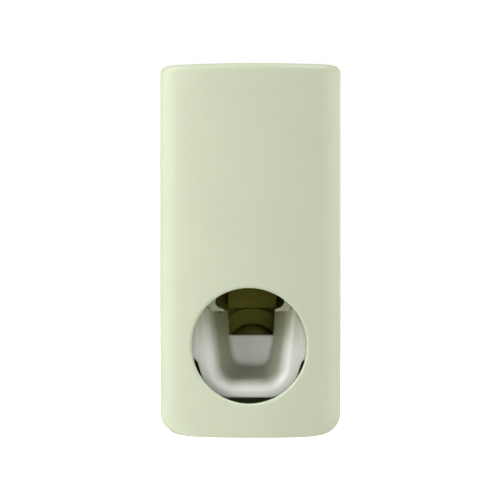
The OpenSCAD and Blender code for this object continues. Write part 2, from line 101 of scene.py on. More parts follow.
@dataclass(frozen=True)
class Window:
    """The brush window, which the pump's places are counted from.

    Attributes:
        front: The y of the cover's front.
        middle: The z of the window's middle.
        radius: The window's radius.
    """

    front: float
    middle: float
    radius: float = 22.6

    def at(self, x: float, depth: float, up: float) -> Point:
        """Gives the point at a depth behind the front and a height over the window's middle."""
        return (x, self.front + depth, self.middle + up)

    def spot_of(self, corner: np.ndarray) -> Point:
        """Gives a place of the frame as counted from the window."""
        return (corner[0], corner[1] - self.front, corner[2] - self.middle)


WINDOW_OVER_FOOT = 36.1
COVER_LOW, COVER_HIGH = corners("front_cover")
WINDOW = Window(front=COVER_LOW[1], middle=COVER_LOW[2] + WINDOW_OVER_FOOT)


# Making meshes


class Draft:
    """A mesh being drawn: points in millimetres and faces, with short calls for rings and rows."""

    def __init__(self) -> None:
        """Starts an empty draft."""
        self.points: list[Point] = []
        self.faces: list[tuple[int, ...]] = []

    def add(self, points: Sequence[Point]) -> list[int]:
        """Adds points.

        Args:
            points: The points to add.

        Returns:
            The places of the new points in the draft.
        """
        start = len(self.points)
        self.points.extend((float(x), float(y), float(z)) for x, y, z in points)
        return list(range(start, len(self.points)))

    def bridge(self, first: Sequence[int], second: Sequence[int], closed: bool = True) -> None:
        """Joins two rows of equal length with four-sided faces.

        Args:
            first: The row that the faces start from.
            second: The row that they reach.
            closed: Whether the rows run round.
        """
        count = len(first)
        for i in range(count if closed else count - 1):
            j = (i + 1) % count
            self.faces.append((first[i], first[j], second[j], second[i]))

    def fan(self, ring: Sequence[int], middle: int) -> None:
        """Closes a ring with triangles to one point."""
        self.faces.extend((ring[i], ring[(i + 1) % len(ring)], middle) for i in range(len(ring)))

    def make(self, name: str, sharp: float = 35.0) -> Piece:
        """Turns the draft into an object with its faces outward.

        Args:
            name: The object's name.
            sharp: Edges that turn by more than this many degrees stay sharp.

        Returns:
            The new object, in the scene.
        """
        mesh = bpy.data.meshes.new(name)
        mesh.from_pydata([(x * MM, y * MM, z * MM) for x, y, z in self.points], [], self.faces)
        net = bmesh.new()
        net.from_mesh(mesh)
        bmesh.ops.recalc_face_normals(net, faces=net.faces)
        net.to_mesh(mesh)
        net.free()
        mesh.shade_smooth()
        mesh.set_sharp_from_angle(angle=math.radians(sharp))
        piece = bpy.data.objects.new(name, mesh)
        bpy.context.scene.collection.objects.link(piece)
        return piece


class Axis(Enum):
    """The direction that a turned piece is drawn along, as the places of its two cross axes and its own."""

    RIGHT = (1, 2, 0)
    BACK = (0, 2, 1)
    UP = (0, 1, 2)

    def place(self, centre: Point, radius: float, angle: float, along: float) -> Point:
        """Gives a point of a turned piece.

        Args:
            centre: The point that the axis runs through.
            radius: The distance from the axis.
            angle: The angle round the axis, in radians.
            along: The distance along the axis from the centre.

        Returns:
            The point.
        """
        across, over, ahead = self.value
        point = list(centre)
        point[across] += radius * math.cos(angle)
        point[over] += radius * math.sin(angle)
        point[ahead] += along
        return (point[0], point[1], point[2])


def arc(centre: Flat, radius: float, start: float, end: float, steps: int = 6) -> list[Flat]:
    """Gives the points of an arc.

    Args:
        centre: The arc's centre.
        radius: Its radius.
        start: Its first angle, in degrees.
        end: Its last angle, in degrees.
        steps: The number of steps between them.

    Returns:
        The points, first to last.
    """
    turns = [math.radians(start + (end - start) * i / steps) for i in range(steps + 1)]
    return [(centre[0] + radius * math.cos(a), centre[1] + radius * math.sin(a)) for a in turns]


def round_places(count: int, radius: float, start: float) -> list[Flat]:
    """Spreads places evenly round a circle.

    Args:
        count: The number of places.
        radius: The circle's radius.
        start: The first place's angle, in degrees.

    Returns:
        The places, counted from the circle's centre.
    """
    turns = [math.radians(start + 360 * k / count) for k in range(count)]
    return [(radius * math.cos(a), radius * math.sin(a)) for a in turns]


def turned(name: str, profile: Sequence[Flat], centre: Point, axis: Axis, steps: int = 72) -> Piece:
    """Turns a profile round an axis into a closed piece.

    Args:
        name: The object's name.
        profile: The radius and the distance along the axis of each point. It starts and ends on the axis,
            with a radius of 0, or runs round a hole.
        centre: The point that distances along the axis are counted from.
        axis: The axis.
        steps: The number of steps round it.

    Returns:
        The new object.
    """
    draft = Draft()
    angles = [2 * math.pi * i / steps for i in range(steps)]
    rings = []
    for radius, along in profile:
        used = angles if radius > 0 else angles[:1]
        rings.append(draft.add([axis.place(centre, radius, angle, along) for angle in used]))
    pairs = list(zip(rings, rings[1:]))
    if profile[0][0] > 0:
        pairs.append((rings[-1], rings[0]))
    for first, second in pairs:
        if len(first) == 1:
            draft.fan(second, first[0])
        elif len(second) == 1:
            draft.fan(first, second[0])
        else:
            draft.bridge(first, second)
    return draft.make(name)


# Moulded forms, drawn as distances that are negative inside


def cut_round(one: np.ndarray, other: np.ndarray, radius: Width) -> np.ndarray:
    """Gives what lies in both forms, with the edge between them rounded.

    Args:
        one: The distance to the first form.
        other: The distance to the second.
        radius: The edge's radius.

    Returns:
        The distance to what they share.
    """
    corner = np.hypot(np.maximum(one + radius, 0), np.maximum(other + radius, 0))
    return np.minimum(np.maximum(one, other), -radius) + corner


def join_round(one: np.ndarray, other: np.ndarray, radius: Width) -> np.ndarray:
    """Gives both forms together, with a fillet in the corner between them.

    Args:
        one: The distance to the first form.
        other: The distance to the second.
        radius: The fillet's radius.

    Returns:
        The distance to both together.
    """
    return -cut_round(-one, -other, radius)


def slab(place: np.ndarray, low: float, high: float) -> np.ndarray:
    """Gives the distance to the layer between two planes."""
    return np.abs(place - (low + high) / 2) - (high - low) / 2


def outline(u: np.ndarray, v: np.ndarray, points: Sequence[Flat]) -> np.ndarray:
    """Gives the distance to the inside of a closed outline.

    Args:
        u: The places along the outline's first axis.
        v: The places along its second axis.
        points: The outline's corners.

    Returns:
        The distances, negative inside.
    """
    nearest = np.full(np.broadcast(u, v).shape, np.inf)
    sign = np.ones_like(nearest)
    for (u0, v0), (u1, v1) in zip(points, [*points[1:], points[0]]):
        along_u, along_v = u1 - u0, v1 - v0
        share = ((u - u0) * along_u + (v - v0) * along_v) / (along_u**2 + along_v**2)
        share = np.clip(share, 0, 1)
        nearest = np.minimum(nearest, (u - u0 - along_u * share) ** 2 + (v - v0 - along_v * share) ** 2)
        if along_v:
            crossed = ((v0 > v) != (v1 > v)) & (u < u0 + along_u * (v - v0) / along_v)
            sign = np.where(crossed, -sign, sign)
    return sign * np.sqrt(nearest)


@dataclass
class Moulding:
    """A form given by its distance field, turned into a mesh of even facets that lie on its surface.

    Attributes:
        name: The object's name.
        form: The field, which takes places counted from the window.
        low: The lowest corner of the form's box.
        high: The highest corner.
        step: The size of the facets.
    """

    name: str
    form: Field
    low: Point
    high: Point
    step: float = 0.4

    def make(self, sharp: float = 50.0) -> Piece:
        """Makes the mesh.

        Args:
            sharp: Edges that turn by more than this many degrees stay sharp.

        Returns:
            The new object.
        """
        step, margin = self.step, 2 * self.step
        axes = [np.arange(a - margin, b + margin + step, step) for a, b in zip(self.low, self.high)]
        grid = np.meshgrid(*axes, indexing="ij", sparse=True)
        value = np.broadcast_to(self.form(Spot(*grid)), [len(a) for a in axes])
        cells, quads = self.crossings(value)
        origin = np.array([a[0] for a in axes])
        points = self.settle(origin + cells * self.step)
        draft = Draft()
        draft.add([WINDOW.at(*p) for p in points])
        draft.faces = [tuple(q) for q in quads.tolist()]
        return draft.make(self.name, sharp)

    def crossings(self, value: np.ndarray) -> tuple[np.ndarray, np.ndarray]:
        """Finds the cells that the surface runs through.

        Args:
            value: The field on the grid.

        Returns:
            One point for each such cell, in steps of the grid, and the faces between them.
        """
        shape = np.array(value.shape) - 1
        total = np.zeros((*shape, 3))
        count = np.zeros(shape)
        faces = []
        for axis in range(3):
            ahead = np.eye(3, dtype=int)[axis]
            first = value[tuple(slice(0, -1) if k == axis else slice(1, -1) for k in range(3))]
            second = value[tuple(slice(1, None) if k == axis else slice(1, -1) for k in range(3))]
            found = np.argwhere((first < 0) != (second < 0))
            start, end = first[tuple(found.T)], second[tuple(found.T)]
            corner = found + 1 - ahead
            point = corner + ahead * (start / (start - end))[:, None]
            across, over = (np.eye(3, dtype=int)[k] for k in range(3) if k != axis)
            around = [corner, corner - across, corner - across - over, corner - over]
            for cell in around:
                np.add.at(total, tuple(cell.T), point)
                np.add.at(count, tuple(cell.T), 1)
            faces.append(np.stack(around, 1))
        used = np.argwhere(count > 0)
        number = np.full(shape, -1)
        number[tuple(used.T)] = np.arange(len(used))
        quads = np.concatenate([number[tuple(np.moveaxis(f, 2, 0))] for f in faces])
        places = tuple(used.T)
        return total[places] / count[places][:, None], quads

    def distance(self, points: np.ndarray) -> np.ndarray:
        """Gives the field at rows of points."""
        return self.form(Spot(*points.T))

    def settle(
        self, points: np.ndarray, rounds: int = 3, reach: float = 0.02, least: float = 0.05
    ) -> np.ndarray:
        """Moves points onto the surface along the field's slope.

        Args:
            points: The points.
            rounds: How often they move.
            reach: The distance over which the slope is taken.
            least: The least square of the slope that counts, so that no point shoots away.

        Returns:
            The moved points.
        """
        sides = np.eye(3) * reach
        for _ in range(rounds):
            falls = [(self.distance(points + s) - self.distance(points - s)) / (2 * reach) for s in sides]
            slope = np.stack(falls, 1)
            steep = np.maximum((slope**2).sum(1), least)
            move = (self.distance(points) / steep)[:, None] * slope
            points = points - np.clip(move, -self.step / 2, self.step / 2)
        return points


# Finishes


def linear(red: int, green: int, blue: int) -> Colour:
    """Gives a screen colour as the shader's linear colour, by the curve that screens follow.

    Args:
        red: The red level, from 0 to 255.
        green: The green level.
        blue: The blue level.

    Returns:
        The linear colour.
    """
    shares = [c / 255 for c in (red, green, blue)]
    lit = [s / 12.92 if s <= 0.04045 else ((s + 0.055) / 1.055) ** 2.4 for s in shares]
    return (lit[0], lit[1], lit[2], 1.0)


def shade(colour: Colour, share: float) -> Colour:
    """Gives a colour made lighter or darker by a share."""
    red, green, blue = (min(c * share, 1.0) for c in colour[:3])
    return (red, green, blue, 1.0)


class Shader:
    """A material's nodes, with short calls for the ones that the finishes share."""

    def __init__(self, name: str) -> None:
        """Makes a material that holds one main shader.

        Args:
            name: The material's name.
        """
        self.material = bpy.data.materials.new(name)
        self.material.use_nodes = True
        self.nodes = self.material.node_tree.nodes
        self.nodes.clear()
        self.main = self.nodes.new("ShaderNodeBsdfPrincipled")
        output = self.nodes.new("ShaderNodeOutputMaterial")
        self.join(self.main.outputs["BSDF"], output.inputs["Surface"])
        self.place = self.nodes.new("ShaderNodeTexCoord").outputs["Object"]

    def join(self, source: Socket, target: Socket) -> None:
        """Links two sockets."""
        self.material.node_tree.links.new(source, target)

    def noise(self, scale: float, detail: float = 2.0, stretch: Point = (1, 1, 1)) -> Socket:
        """Adds a noise.

        Args:
            scale: How many of its features fit in a metre.
            detail: How many finer layers it has.
            stretch: How much denser it is along each axis.

        Returns:
            Its value, from 0 to 1.
        """
        spread = self.nodes.new("ShaderNodeMapping")
        spread.inputs["Scale"].default_value = stretch
        self.join(self.place, spread.inputs["Vector"])
        noise = self.nodes.new("ShaderNodeTexNoise")
        noise.inputs["Scale"].default_value = scale
        noise.inputs["Detail"].default_value = detail
        self.join(spread.outputs["Vector"], noise.inputs["Vector"])
        return noise.outputs["Fac"]

    def spread(self, value: Socket, source: Flat, target: Flat) -> Socket:
        """Maps a value from one range to another.

        Args:
            value: The value.
            source: The range that it comes from.
            target: The range that it goes to.

        Returns:
            The mapped value.
        """
        ramp = self.nodes.new("ShaderNodeMapRange")
        ramp.inputs["From Min"].default_value, ramp.inputs["From Max"].default_value = source
        ramp.inputs["To Min"].default_value, ramp.inputs["To Max"].default_value = target
        self.join(value, ramp.inputs["Value"])
        return ramp.outputs["Result"]

    def product(self, one: Socket, other: Socket) -> Socket:
        """Multiplies two values.

        Args:
            one: The first value.
            other: The second value.

        Returns:
            Their product.
        """
        times = self.nodes.new("ShaderNodeMath")
        times.operation = "MULTIPLY"
        self.join(one, times.inputs[0])
        self.join(other, times.inputs[1])
        return times.outputs[0]

    def tint(self, share: Socket, low: Sequence[float], high: Sequence[float]) -> Socket:
        """Mixes two colours.

        Args:
            share: How much of the second there is.
            low: The first colour.
            high: The second colour.

        Returns:
            The mixed colour.
        """
        mix = self.nodes.new("ShaderNodeMix")
        mix.data_type = "RGBA"
        mix.inputs["A"].default_value = low
        mix.inputs["B"].default_value = high
        self.join(share, mix.inputs["Factor"])
        return mix.outputs["Result"]

    def lay_over(self, share: Socket, under: Socket, over: Sequence[float]) -> Socket:
        """Lays a colour over a colour that varies.

        Args:
            share: How much of the upper colour there is.
            under: The lower colour.
            over: The upper colour.

        Returns:
            The mixed colour.
        """
        mixed = self.tint(share, over, over)
        self.join(under, mixed.node.inputs["A"])
        return mixed

    def edges(self, low: float = 0.52, high: float = 0.6) -> Socket:
        """Gives a mask that is 1 along outer edges."""
        point = self.nodes.new("ShaderNodeNewGeometry").outputs["Pointiness"]
        return self.spread(point, (low, high), (0.0, 1.0))

    def normal(self) -> Socket:
        """Gives the direction that the surface looks in."""
        return self.nodes.new("ShaderNodeNewGeometry").outputs["Normal"]

    def along(self, direction: Socket, axis: str) -> Socket:
        """Gives one axis' share of a direction or a place.

        Args:
            direction: The direction or the place.
            axis: The axis' letter.

        Returns:
            The share.
        """
        parts = self.nodes.new("ShaderNodeSeparateXYZ")
        self.join(direction, parts.inputs[0])
        return parts.outputs[axis]

    def paint(self, colour: Socket) -> None:
        """Gives the main shader its colour."""
        self.join(colour, self.main.inputs["Base Color"])

    def roughen(self, value: Socket, source: Flat, target: Flat) -> None:
        """Gives the main shader a roughness that follows a value from one range to another."""
        self.join(self.spread(value, source, target), self.main.inputs["Roughness"])

    def relief(self, height: Socket, depth: float, strength: float) -> None:
        """Adds a fine relief to the main shader.

        Args:
            height: The relief's height, from 0 to 1.
            depth: How deep it is, in millimetres.
            strength: How much of it shows.
        """
        bump = self.nodes.new("ShaderNodeBump")
        bump.inputs["Distance"].default_value = depth * MM
        bump.inputs["Strength"].default_value = strength
        self.join(height, bump.inputs["Height"])
        before = [link.from_socket for link in self.main.inputs["Normal"].links]
        if before:
            self.join(before[0], bump.inputs["Normal"])
        self.join(bump.outputs["Normal"], self.main.inputs["Normal"])


@dataclass(frozen=True)
class PaintedShade:
    """Painted shade: a dark olive colour laid in the hollows and on the upper part, standing in for the
    shade and the olive bounce light there.

    Attributes:
        colour: The painted shade's colour.
        walls: How much painted shade lies on walls that turn away from the front.
        faces: How much painted shade lies on faces that look to the front.
        facing: The front's share of the direction at a full wall and at a full face.
        high: How much more painted shade lies high up, where the cover's overhang shades the cup.
        rise: The heights over the window's middle between which it grows.
        reach: How far a surface lies that makes a hollow.
        tilt: How much more the hollow's mask looks up than straight out of the surface.
        sky: The shares of open sky in a full hollow and outside one.
        samples: How many looks at the sky are taken.
    """

    colour: Colour
    walls: float = 0.58
    faces: float = 0.13
    facing: Flat = (0.3, 0.98)
    high: float = 0.6
    rise: Flat = (-3.0, 14.0)
    reach: float = 26.0
    tilt: float = 1.0
    sky: Flat = (0.76, 0.9)
    samples: int = 12

    def hollows(self, shader: Shader) -> Socket:
        """Adds a mask that is 1 in hollows and under overhangs.

        Args:
            shader: The nodes of the material.

        Returns:
            The mask.
        """
        # Occlusion seen from a direction tilted upward sets where shade is painted, since the light falls
        # from above.
        raised = shader.nodes.new("ShaderNodeVectorMath")
        shader.join(shader.normal(), raised.inputs[0])
        raised.inputs[1].default_value = (0.0, 0.0, self.tilt)
        direction = shader.nodes.new("ShaderNodeVectorMath")
        direction.operation = "NORMALIZE"
        shader.join(raised.outputs["Vector"], direction.inputs[0])
        open_sky = shader.nodes.new("ShaderNodeAmbientOcclusion")
        open_sky.samples = self.samples
        open_sky.inputs["Distance"].default_value = self.reach * MM
        shader.join(direction.outputs["Vector"], open_sky.inputs["Normal"])
        return shader.spread(open_sky.outputs["AO"], self.sky, (1.0, 0.0))

    def mask(self, shader: Shader) -> Socket:
        """Adds a mask that is 1 where the painted shade covers the surface.

        Args:
            shader: The nodes of the material.

        Returns:
            The mask.
        """
        facing = shader.nodes.new("ShaderNodeMath")
        facing.operation = "ABSOLUTE"
        shader.join(shader.along(shader.normal(), "Y"), facing.inputs[0])
        unshaded = shader.spread(facing.outputs[0], self.facing, (1 - self.walls, 1 - self.faces))
        # The painted shade grows towards the top, where the cover's overhang shades the cup.
        start, end = ((WINDOW.middle + up) * MM for up in self.rise)
        low = shader.spread(shader.along(shader.place, "Z"), (start, end), (1.0, 1 - self.high))
        shaded = shader.spread(shader.product(unshaded, low), (0.0, 1.0), (1.0, 0.0))
        return shader.product(shaded, self.hollows(shader))


@dataclass(frozen=True)
class Stuff:
    """What pieces are made of.

    Attributes:
        name: The material's name.
        colour: Its colour.
    """

    name: str
    colour: Colour

    def shades(self, low: float, high: float) -> tuple[Colour, Colour]:
        """Gives the colour at two shares of its brightness."""
        return shade(self.colour, low), shade(self.colour, high)


@dataclass(frozen=True)
class Plastic(Stuff):
    """Moulded plastic: a colour that drifts a little, a fine spark-eroded grain and rubbed edges.

    Attributes:
        roughness: How matt it is.
        grain: How deep the grain is, in millimetres.
        drift: How far the colour drifts to each side, as a share.
        coat: How much gloss lies over it.
        shine: How strongly it mirrors, where 0.5 is usual for plastic.
        painted_shade: The painted shade laid on its hollows and upper part, if any.
        refraction: How strongly it bends light.
        coat_roughness: How matt the gloss over it is.
        rub: How much lighter colour the rubbed edges take.
        rubbed: How much lighter that colour is.
        uneven: How far the roughness drifts to each side.
        clouds: How many patches of colour there are in a metre.
        wipes: How many wiped patches there are in a metre.
        grains: How many grains there are in a metre.
        sinks: How many shallow sinks there are in a metre.
    """

    roughness: float
    grain: float = 0.02
    drift: float = 0.03
    coat: float = 0.0
    shine: float = 0.5
    painted_shade: PaintedShade | None = None
    refraction: float = 1.5
    coat_roughness: float = 0.12
    rub: float = 0.2
    rubbed: float = 1.1
    uneven: float = 0.03
    clouds: float = 45.0
    wipes: float = 70.0
    grains: float = 2600.0
    sinks: float = 90.0

    def make(self) -> bpy.types.Material:
        """Builds the material.

        Returns:
            The material.
        """
        shader = Shader(self.name)
        main = shader.main
        main.inputs["IOR"].default_value = self.refraction
        main.inputs["Specular IOR Level"].default_value = self.shine
        main.inputs["Coat Weight"].default_value = self.coat
        main.inputs["Coat Roughness"].default_value = self.coat_roughness
        clouds = shader.noise(self.clouds, detail=3.0)
        base = shader.tint(clouds, *self.shades(1 - self.drift, 1 + self.drift))
        rubbed = shader.spread(shader.edges(), (0.0, 1.0), (0.0, self.rub))
        base = shader.lay_over(rubbed, base, shade(self.colour, self.rubbed))
        # Painted shade: a dark olive colour laid over the hollows and the upper part.
        if self.painted_shade:
            base = shader.lay_over(self.painted_shade.mask(shader), base, self.painted_shade.colour)
        shader.paint(base)
        wiped = shader.noise(self.wipes, detail=1.0, stretch=(1.0, 1.0, 0.5))
        shader.roughen(wiped, (0.0, 1.0), (self.roughness - self.uneven, self.roughness + self.uneven))
        shader.relief(shader.noise(self.grains, detail=1.0), depth=self.grain, strength=0.5)
        shader.relief(shader.noise(self.sinks, detail=1.0), depth=self.grain * 2, strength=0.12)
        return shader.material


@dataclass(frozen=True)
class Silicone(Stuff):
    """Soft silicone: light sinks into it, and its skin is smooth with a little dust.

    Attributes:
        clear: How much light sinks in.
        roughness: How matt it is.
        refraction: How strongly it bends light.
        sink: How deep light sinks in, in millimetres.
        sink_shares: The shares of that depth that red, green and blue light reach.
        specks: How many specks of dust there are in a metre.
        dusty: The colour's shares beside and under dust.
        dust: The noise's values between which dust grows thick.
        matt: What dust adds to the roughness, beside it and under it.
        grains: How many grains its skin has in a metre.
    """

    clear: float = 0.3
    roughness: float = 0.4
    refraction: float = 1.42
    sink: float = 1.5
    sink_shares: Point = (1.0, 0.9, 0.7)
    specks: float = 320.0
    dusty: Flat = (0.93, 1.06)
    dust: Flat = (0.35, 0.7)
    matt: Flat = (-0.05, 0.12)
    grains: float = 1500.0

    def make(self) -> bpy.types.Material:
        """Builds the material.

        Returns:
            The material.
        """
        shader = Shader(self.name)
        main = shader.main
        main.inputs["IOR"].default_value = self.refraction
        main.inputs["Subsurface Weight"].default_value = self.clear
        main.inputs["Subsurface Radius"].default_value = self.sink_shares
        main.inputs["Subsurface Scale"].default_value = self.sink * MM
        specks = shader.noise(self.specks, detail=3.0)
        shader.paint(shader.tint(specks, *self.shades(*self.dusty)))
        low, high = (self.roughness + more for more in self.matt)
        shader.roughen(specks, self.dust, (low, high))
        shader.relief(shader.noise(self.grains, detail=1.0), depth=0.01, strength=0.4)
        return shader.material


@dataclass(frozen=True)
class Steel(Stuff):
    """Small steel parts: brushed along one axis, with faint stains.

    Attributes:
        roughness: How matt it is.
        brushed: How much denser the brushed lines are along each axis.
        stains: How many stains there are in a metre.
        stained: The colour's shares in a stain and beside it.
        lines: How many brushed lines there are in a metre.
        scratched: The noise's values between which a line grows deep.
        matt: What a line adds to the roughness, beside it and on it.
    """

    roughness: float = 0.3
    brushed: Point = (1.0, 1.0, 12.0)
    stains: float = 500.0
    stained: Flat = (0.85, 1.08)
    lines: float = 900.0
    scratched: Flat = (0.3, 0.7)
    matt: Flat = (-0.08, 0.12)

    def make(self) -> bpy.types.Material:
        """Builds the material.

        Returns:
            The material.
        """
        shader = Shader(self.name)
        shader.main.inputs["Metallic"].default_value = 1.0
        stains = shader.noise(self.stains, detail=3.0)
        shader.paint(shader.tint(stains, *self.shades(*self.stained)))
        lines = shader.noise(self.lines, stretch=self.brushed)
        low, high = (self.roughness + more for more in self.matt)
        shader.roughen(lines, self.scratched, (low, high))
        shader.relief(lines, depth=0.004, strength=0.3)
        return shader.material


@dataclass(frozen=True)
class Foam(Stuff):
    """Closed-cell foam tape with fine open pores on its faces, whose dark middles are painted shade.

    Attributes:
        roughness: How matt it is.
        pores: How many pores there are in a metre.
        rim: How far a pore's painted dark middle reaches, as a share of its room.
        pore_shades: The colour's shares in a pore's painted shade and beside it.
    """

    roughness: float = 0.85
    pores: float = 1600.0
    rim: float = 0.45
    pore_shades: Flat = (0.6, 1.1)

    def make(self) -> bpy.types.Material:
        """Builds the material.

        Returns:
            The material.
        """
        shader = Shader(self.name)
        shader.main.inputs["Roughness"].default_value = self.roughness
        pores = shader.nodes.new("ShaderNodeTexVoronoi")
        pores.inputs["Scale"].default_value = self.pores
        shader.join(shader.place, pores.inputs["Vector"])
        # The pores' dark middles are painted shade.
        open_share = shader.spread(pores.outputs["Distance"], (0.0, self.rim), (0.0, 1.0))
        shader.paint(shader.tint(open_share, *self.shades(*self.pore_shades)))
        shader.relief(open_share, depth=0.08, strength=0.7)
        return shader.material


SAGE = linear(203, 210, 182)
# Sage of the back plate, darker and greener than the cover's: partly its plastic, partly painted shade and
# green bounce light.
INNER_SAGE_WITH_PAINTED_SHADE = linear(186, 194, 152)
# Dark olive of the pump's inner parts: partly their green plastic, partly painted shade, so that they look
# shaded behind the window.
OLIVE_WITH_PAINTED_SHADE = linear(113, 111, 32)
BONE = linear(226, 229, 221)
# Painted shade for the cup: a dark olive standing in for the shade in its channel and under the cover.
CUP_PAINTED_SHADE = PaintedShade(linear(109, 112, 14))


class Finish(Enum):
    """The dispenser's finishes, by the record's slot that each one stands for."""

    sage_shell = Plastic("sage_shell", SAGE, roughness=0.5)
    # sage_inner carries painted shade and green bounce light.
    sage_inner = Plastic("sage_inner", INNER_SAGE_WITH_PAINTED_SHADE, roughness=0.5, grain=0.03, drift=0.05)
    # olive_inner is darkened with painted shade.
    olive_inner = Plastic("olive_inner", OLIVE_WITH_PAINTED_SHADE, roughness=0.6, grain=0.03, drift=0.05, shine=0.15)
    white_bracket = Plastic("white_bracket", linear(222, 224, 217), roughness=0.45, grain=0.03)
    white_plastic = Plastic("white_plastic", BONE, roughness=0.32)
    # The white cup carries painted shade in its channel and upper part.
    white_gloss = Plastic(
        "white_gloss", BONE, roughness=0.36, grain=0.004, drift=0.015, coat=0.08, painted_shade=CUP_PAINTED_SHADE
    )
    foam_tape = Foam("foam_tape", linear(150, 152, 150))
    clear_silicone = Silicone("clear_silicone", linear(214, 216, 205), clear=0.6)
    # Dark olive silicone: partly its own colour, partly painted shade, so that the dome sinks into the dark
    # behind the window.
    olive_silicone = Silicone("olive_silicone", linear(90, 89, 24), clear=0.0, roughness=0.55)
    screw_steel = Steel("screw_steel", linear(196, 198, 200))
    pin_steel = Steel("pin_steel", linear(205, 206, 208), roughness=0.24, brushed=(12.0, 1.0, 1.0))


MATERIALS = {finish: finish.value.make() for finish in Finish}


class Body(Enum):
    """The moving bodies that made pieces ride on, by their names in the frame."""

    CHASSIS = "chassis"
    COVER = "cover"
    LEVER = "lever"


def dress(piece: Piece, finish: Finish) -> Piece:
    """Gives a piece its finish.

    Args:
        piece: The piece.
        finish: Its finish.

    Returns:
        The piece.
    """
    piece.data.materials.clear()
    piece.data.materials.append(MATERIALS[finish])
    return piece


def settle(piece: Piece, body: Body, finish: Finish, *nodes: str) -> Piece:
    """Finishes a made piece and ties it to the frame.

    Args:
        piece: The piece, in place.
        body: The body that it moves with.
        finish: Its finish.
        nodes: The CAD nodes that it stands for.

    Returns:
        The piece.
    """
    dress(piece, finish)
    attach(piece, body.value)
    if nodes:
        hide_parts(*nodes)
    LOG.info("%s rides on %s in %s", piece.name, body.value, finish.name)
    return piece


WELD_REACH = 0.002
FLAT_TURN = 0.5
EDGE_TURN = 40.0


def keep(node: str, finish: Finish, edge: float = 0.25, segments: int = 2) -> Piece:
    """Keeps a CAD node in view, with its edges broken and its finish on.

    Args:
        node: The node's name.
        finish: Its finish.
        edge: The width of the broken edges, in millimetres, or 0 for none.
        segments: The facets across an edge.

    Returns:
        The node's object.
    """
    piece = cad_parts[node]
    dress(piece, finish)
    weld = piece.modifiers.new("weld", "WELD")
    weld.merge_threshold = WELD_REACH * MM
    if edge:
        flats = piece.modifiers.new("flats", "DECIMATE")
        flats.decimate_type = "DISSOLVE"
        flats.angle_limit = math.radians(FLAT_TURN)
        bevel = piece.modifiers.new("broken_edges", "BEVEL")
        bevel.width = edge * MM
        bevel.segments = segments
        bevel.limit_method = "ANGLE"
        bevel.angle_limit = math.radians(EDGE_TURN)
        bevel.harden_normals = False
    piece.data.shade_smooth()
    smooth = piece.modifiers.new("even_normals", "WEIGHTED_NORMAL")
    smooth.keep_sharp = True
    LOG.info("%s stays, in %s", node, finish.name)
    return piece


# Front cover


def quarter(steps: int) -> list[float]:
    """Lists the angles of a quarter turn, in radians."""
    return [math.radians(90 * i / steps) for i in range(steps + 1)]


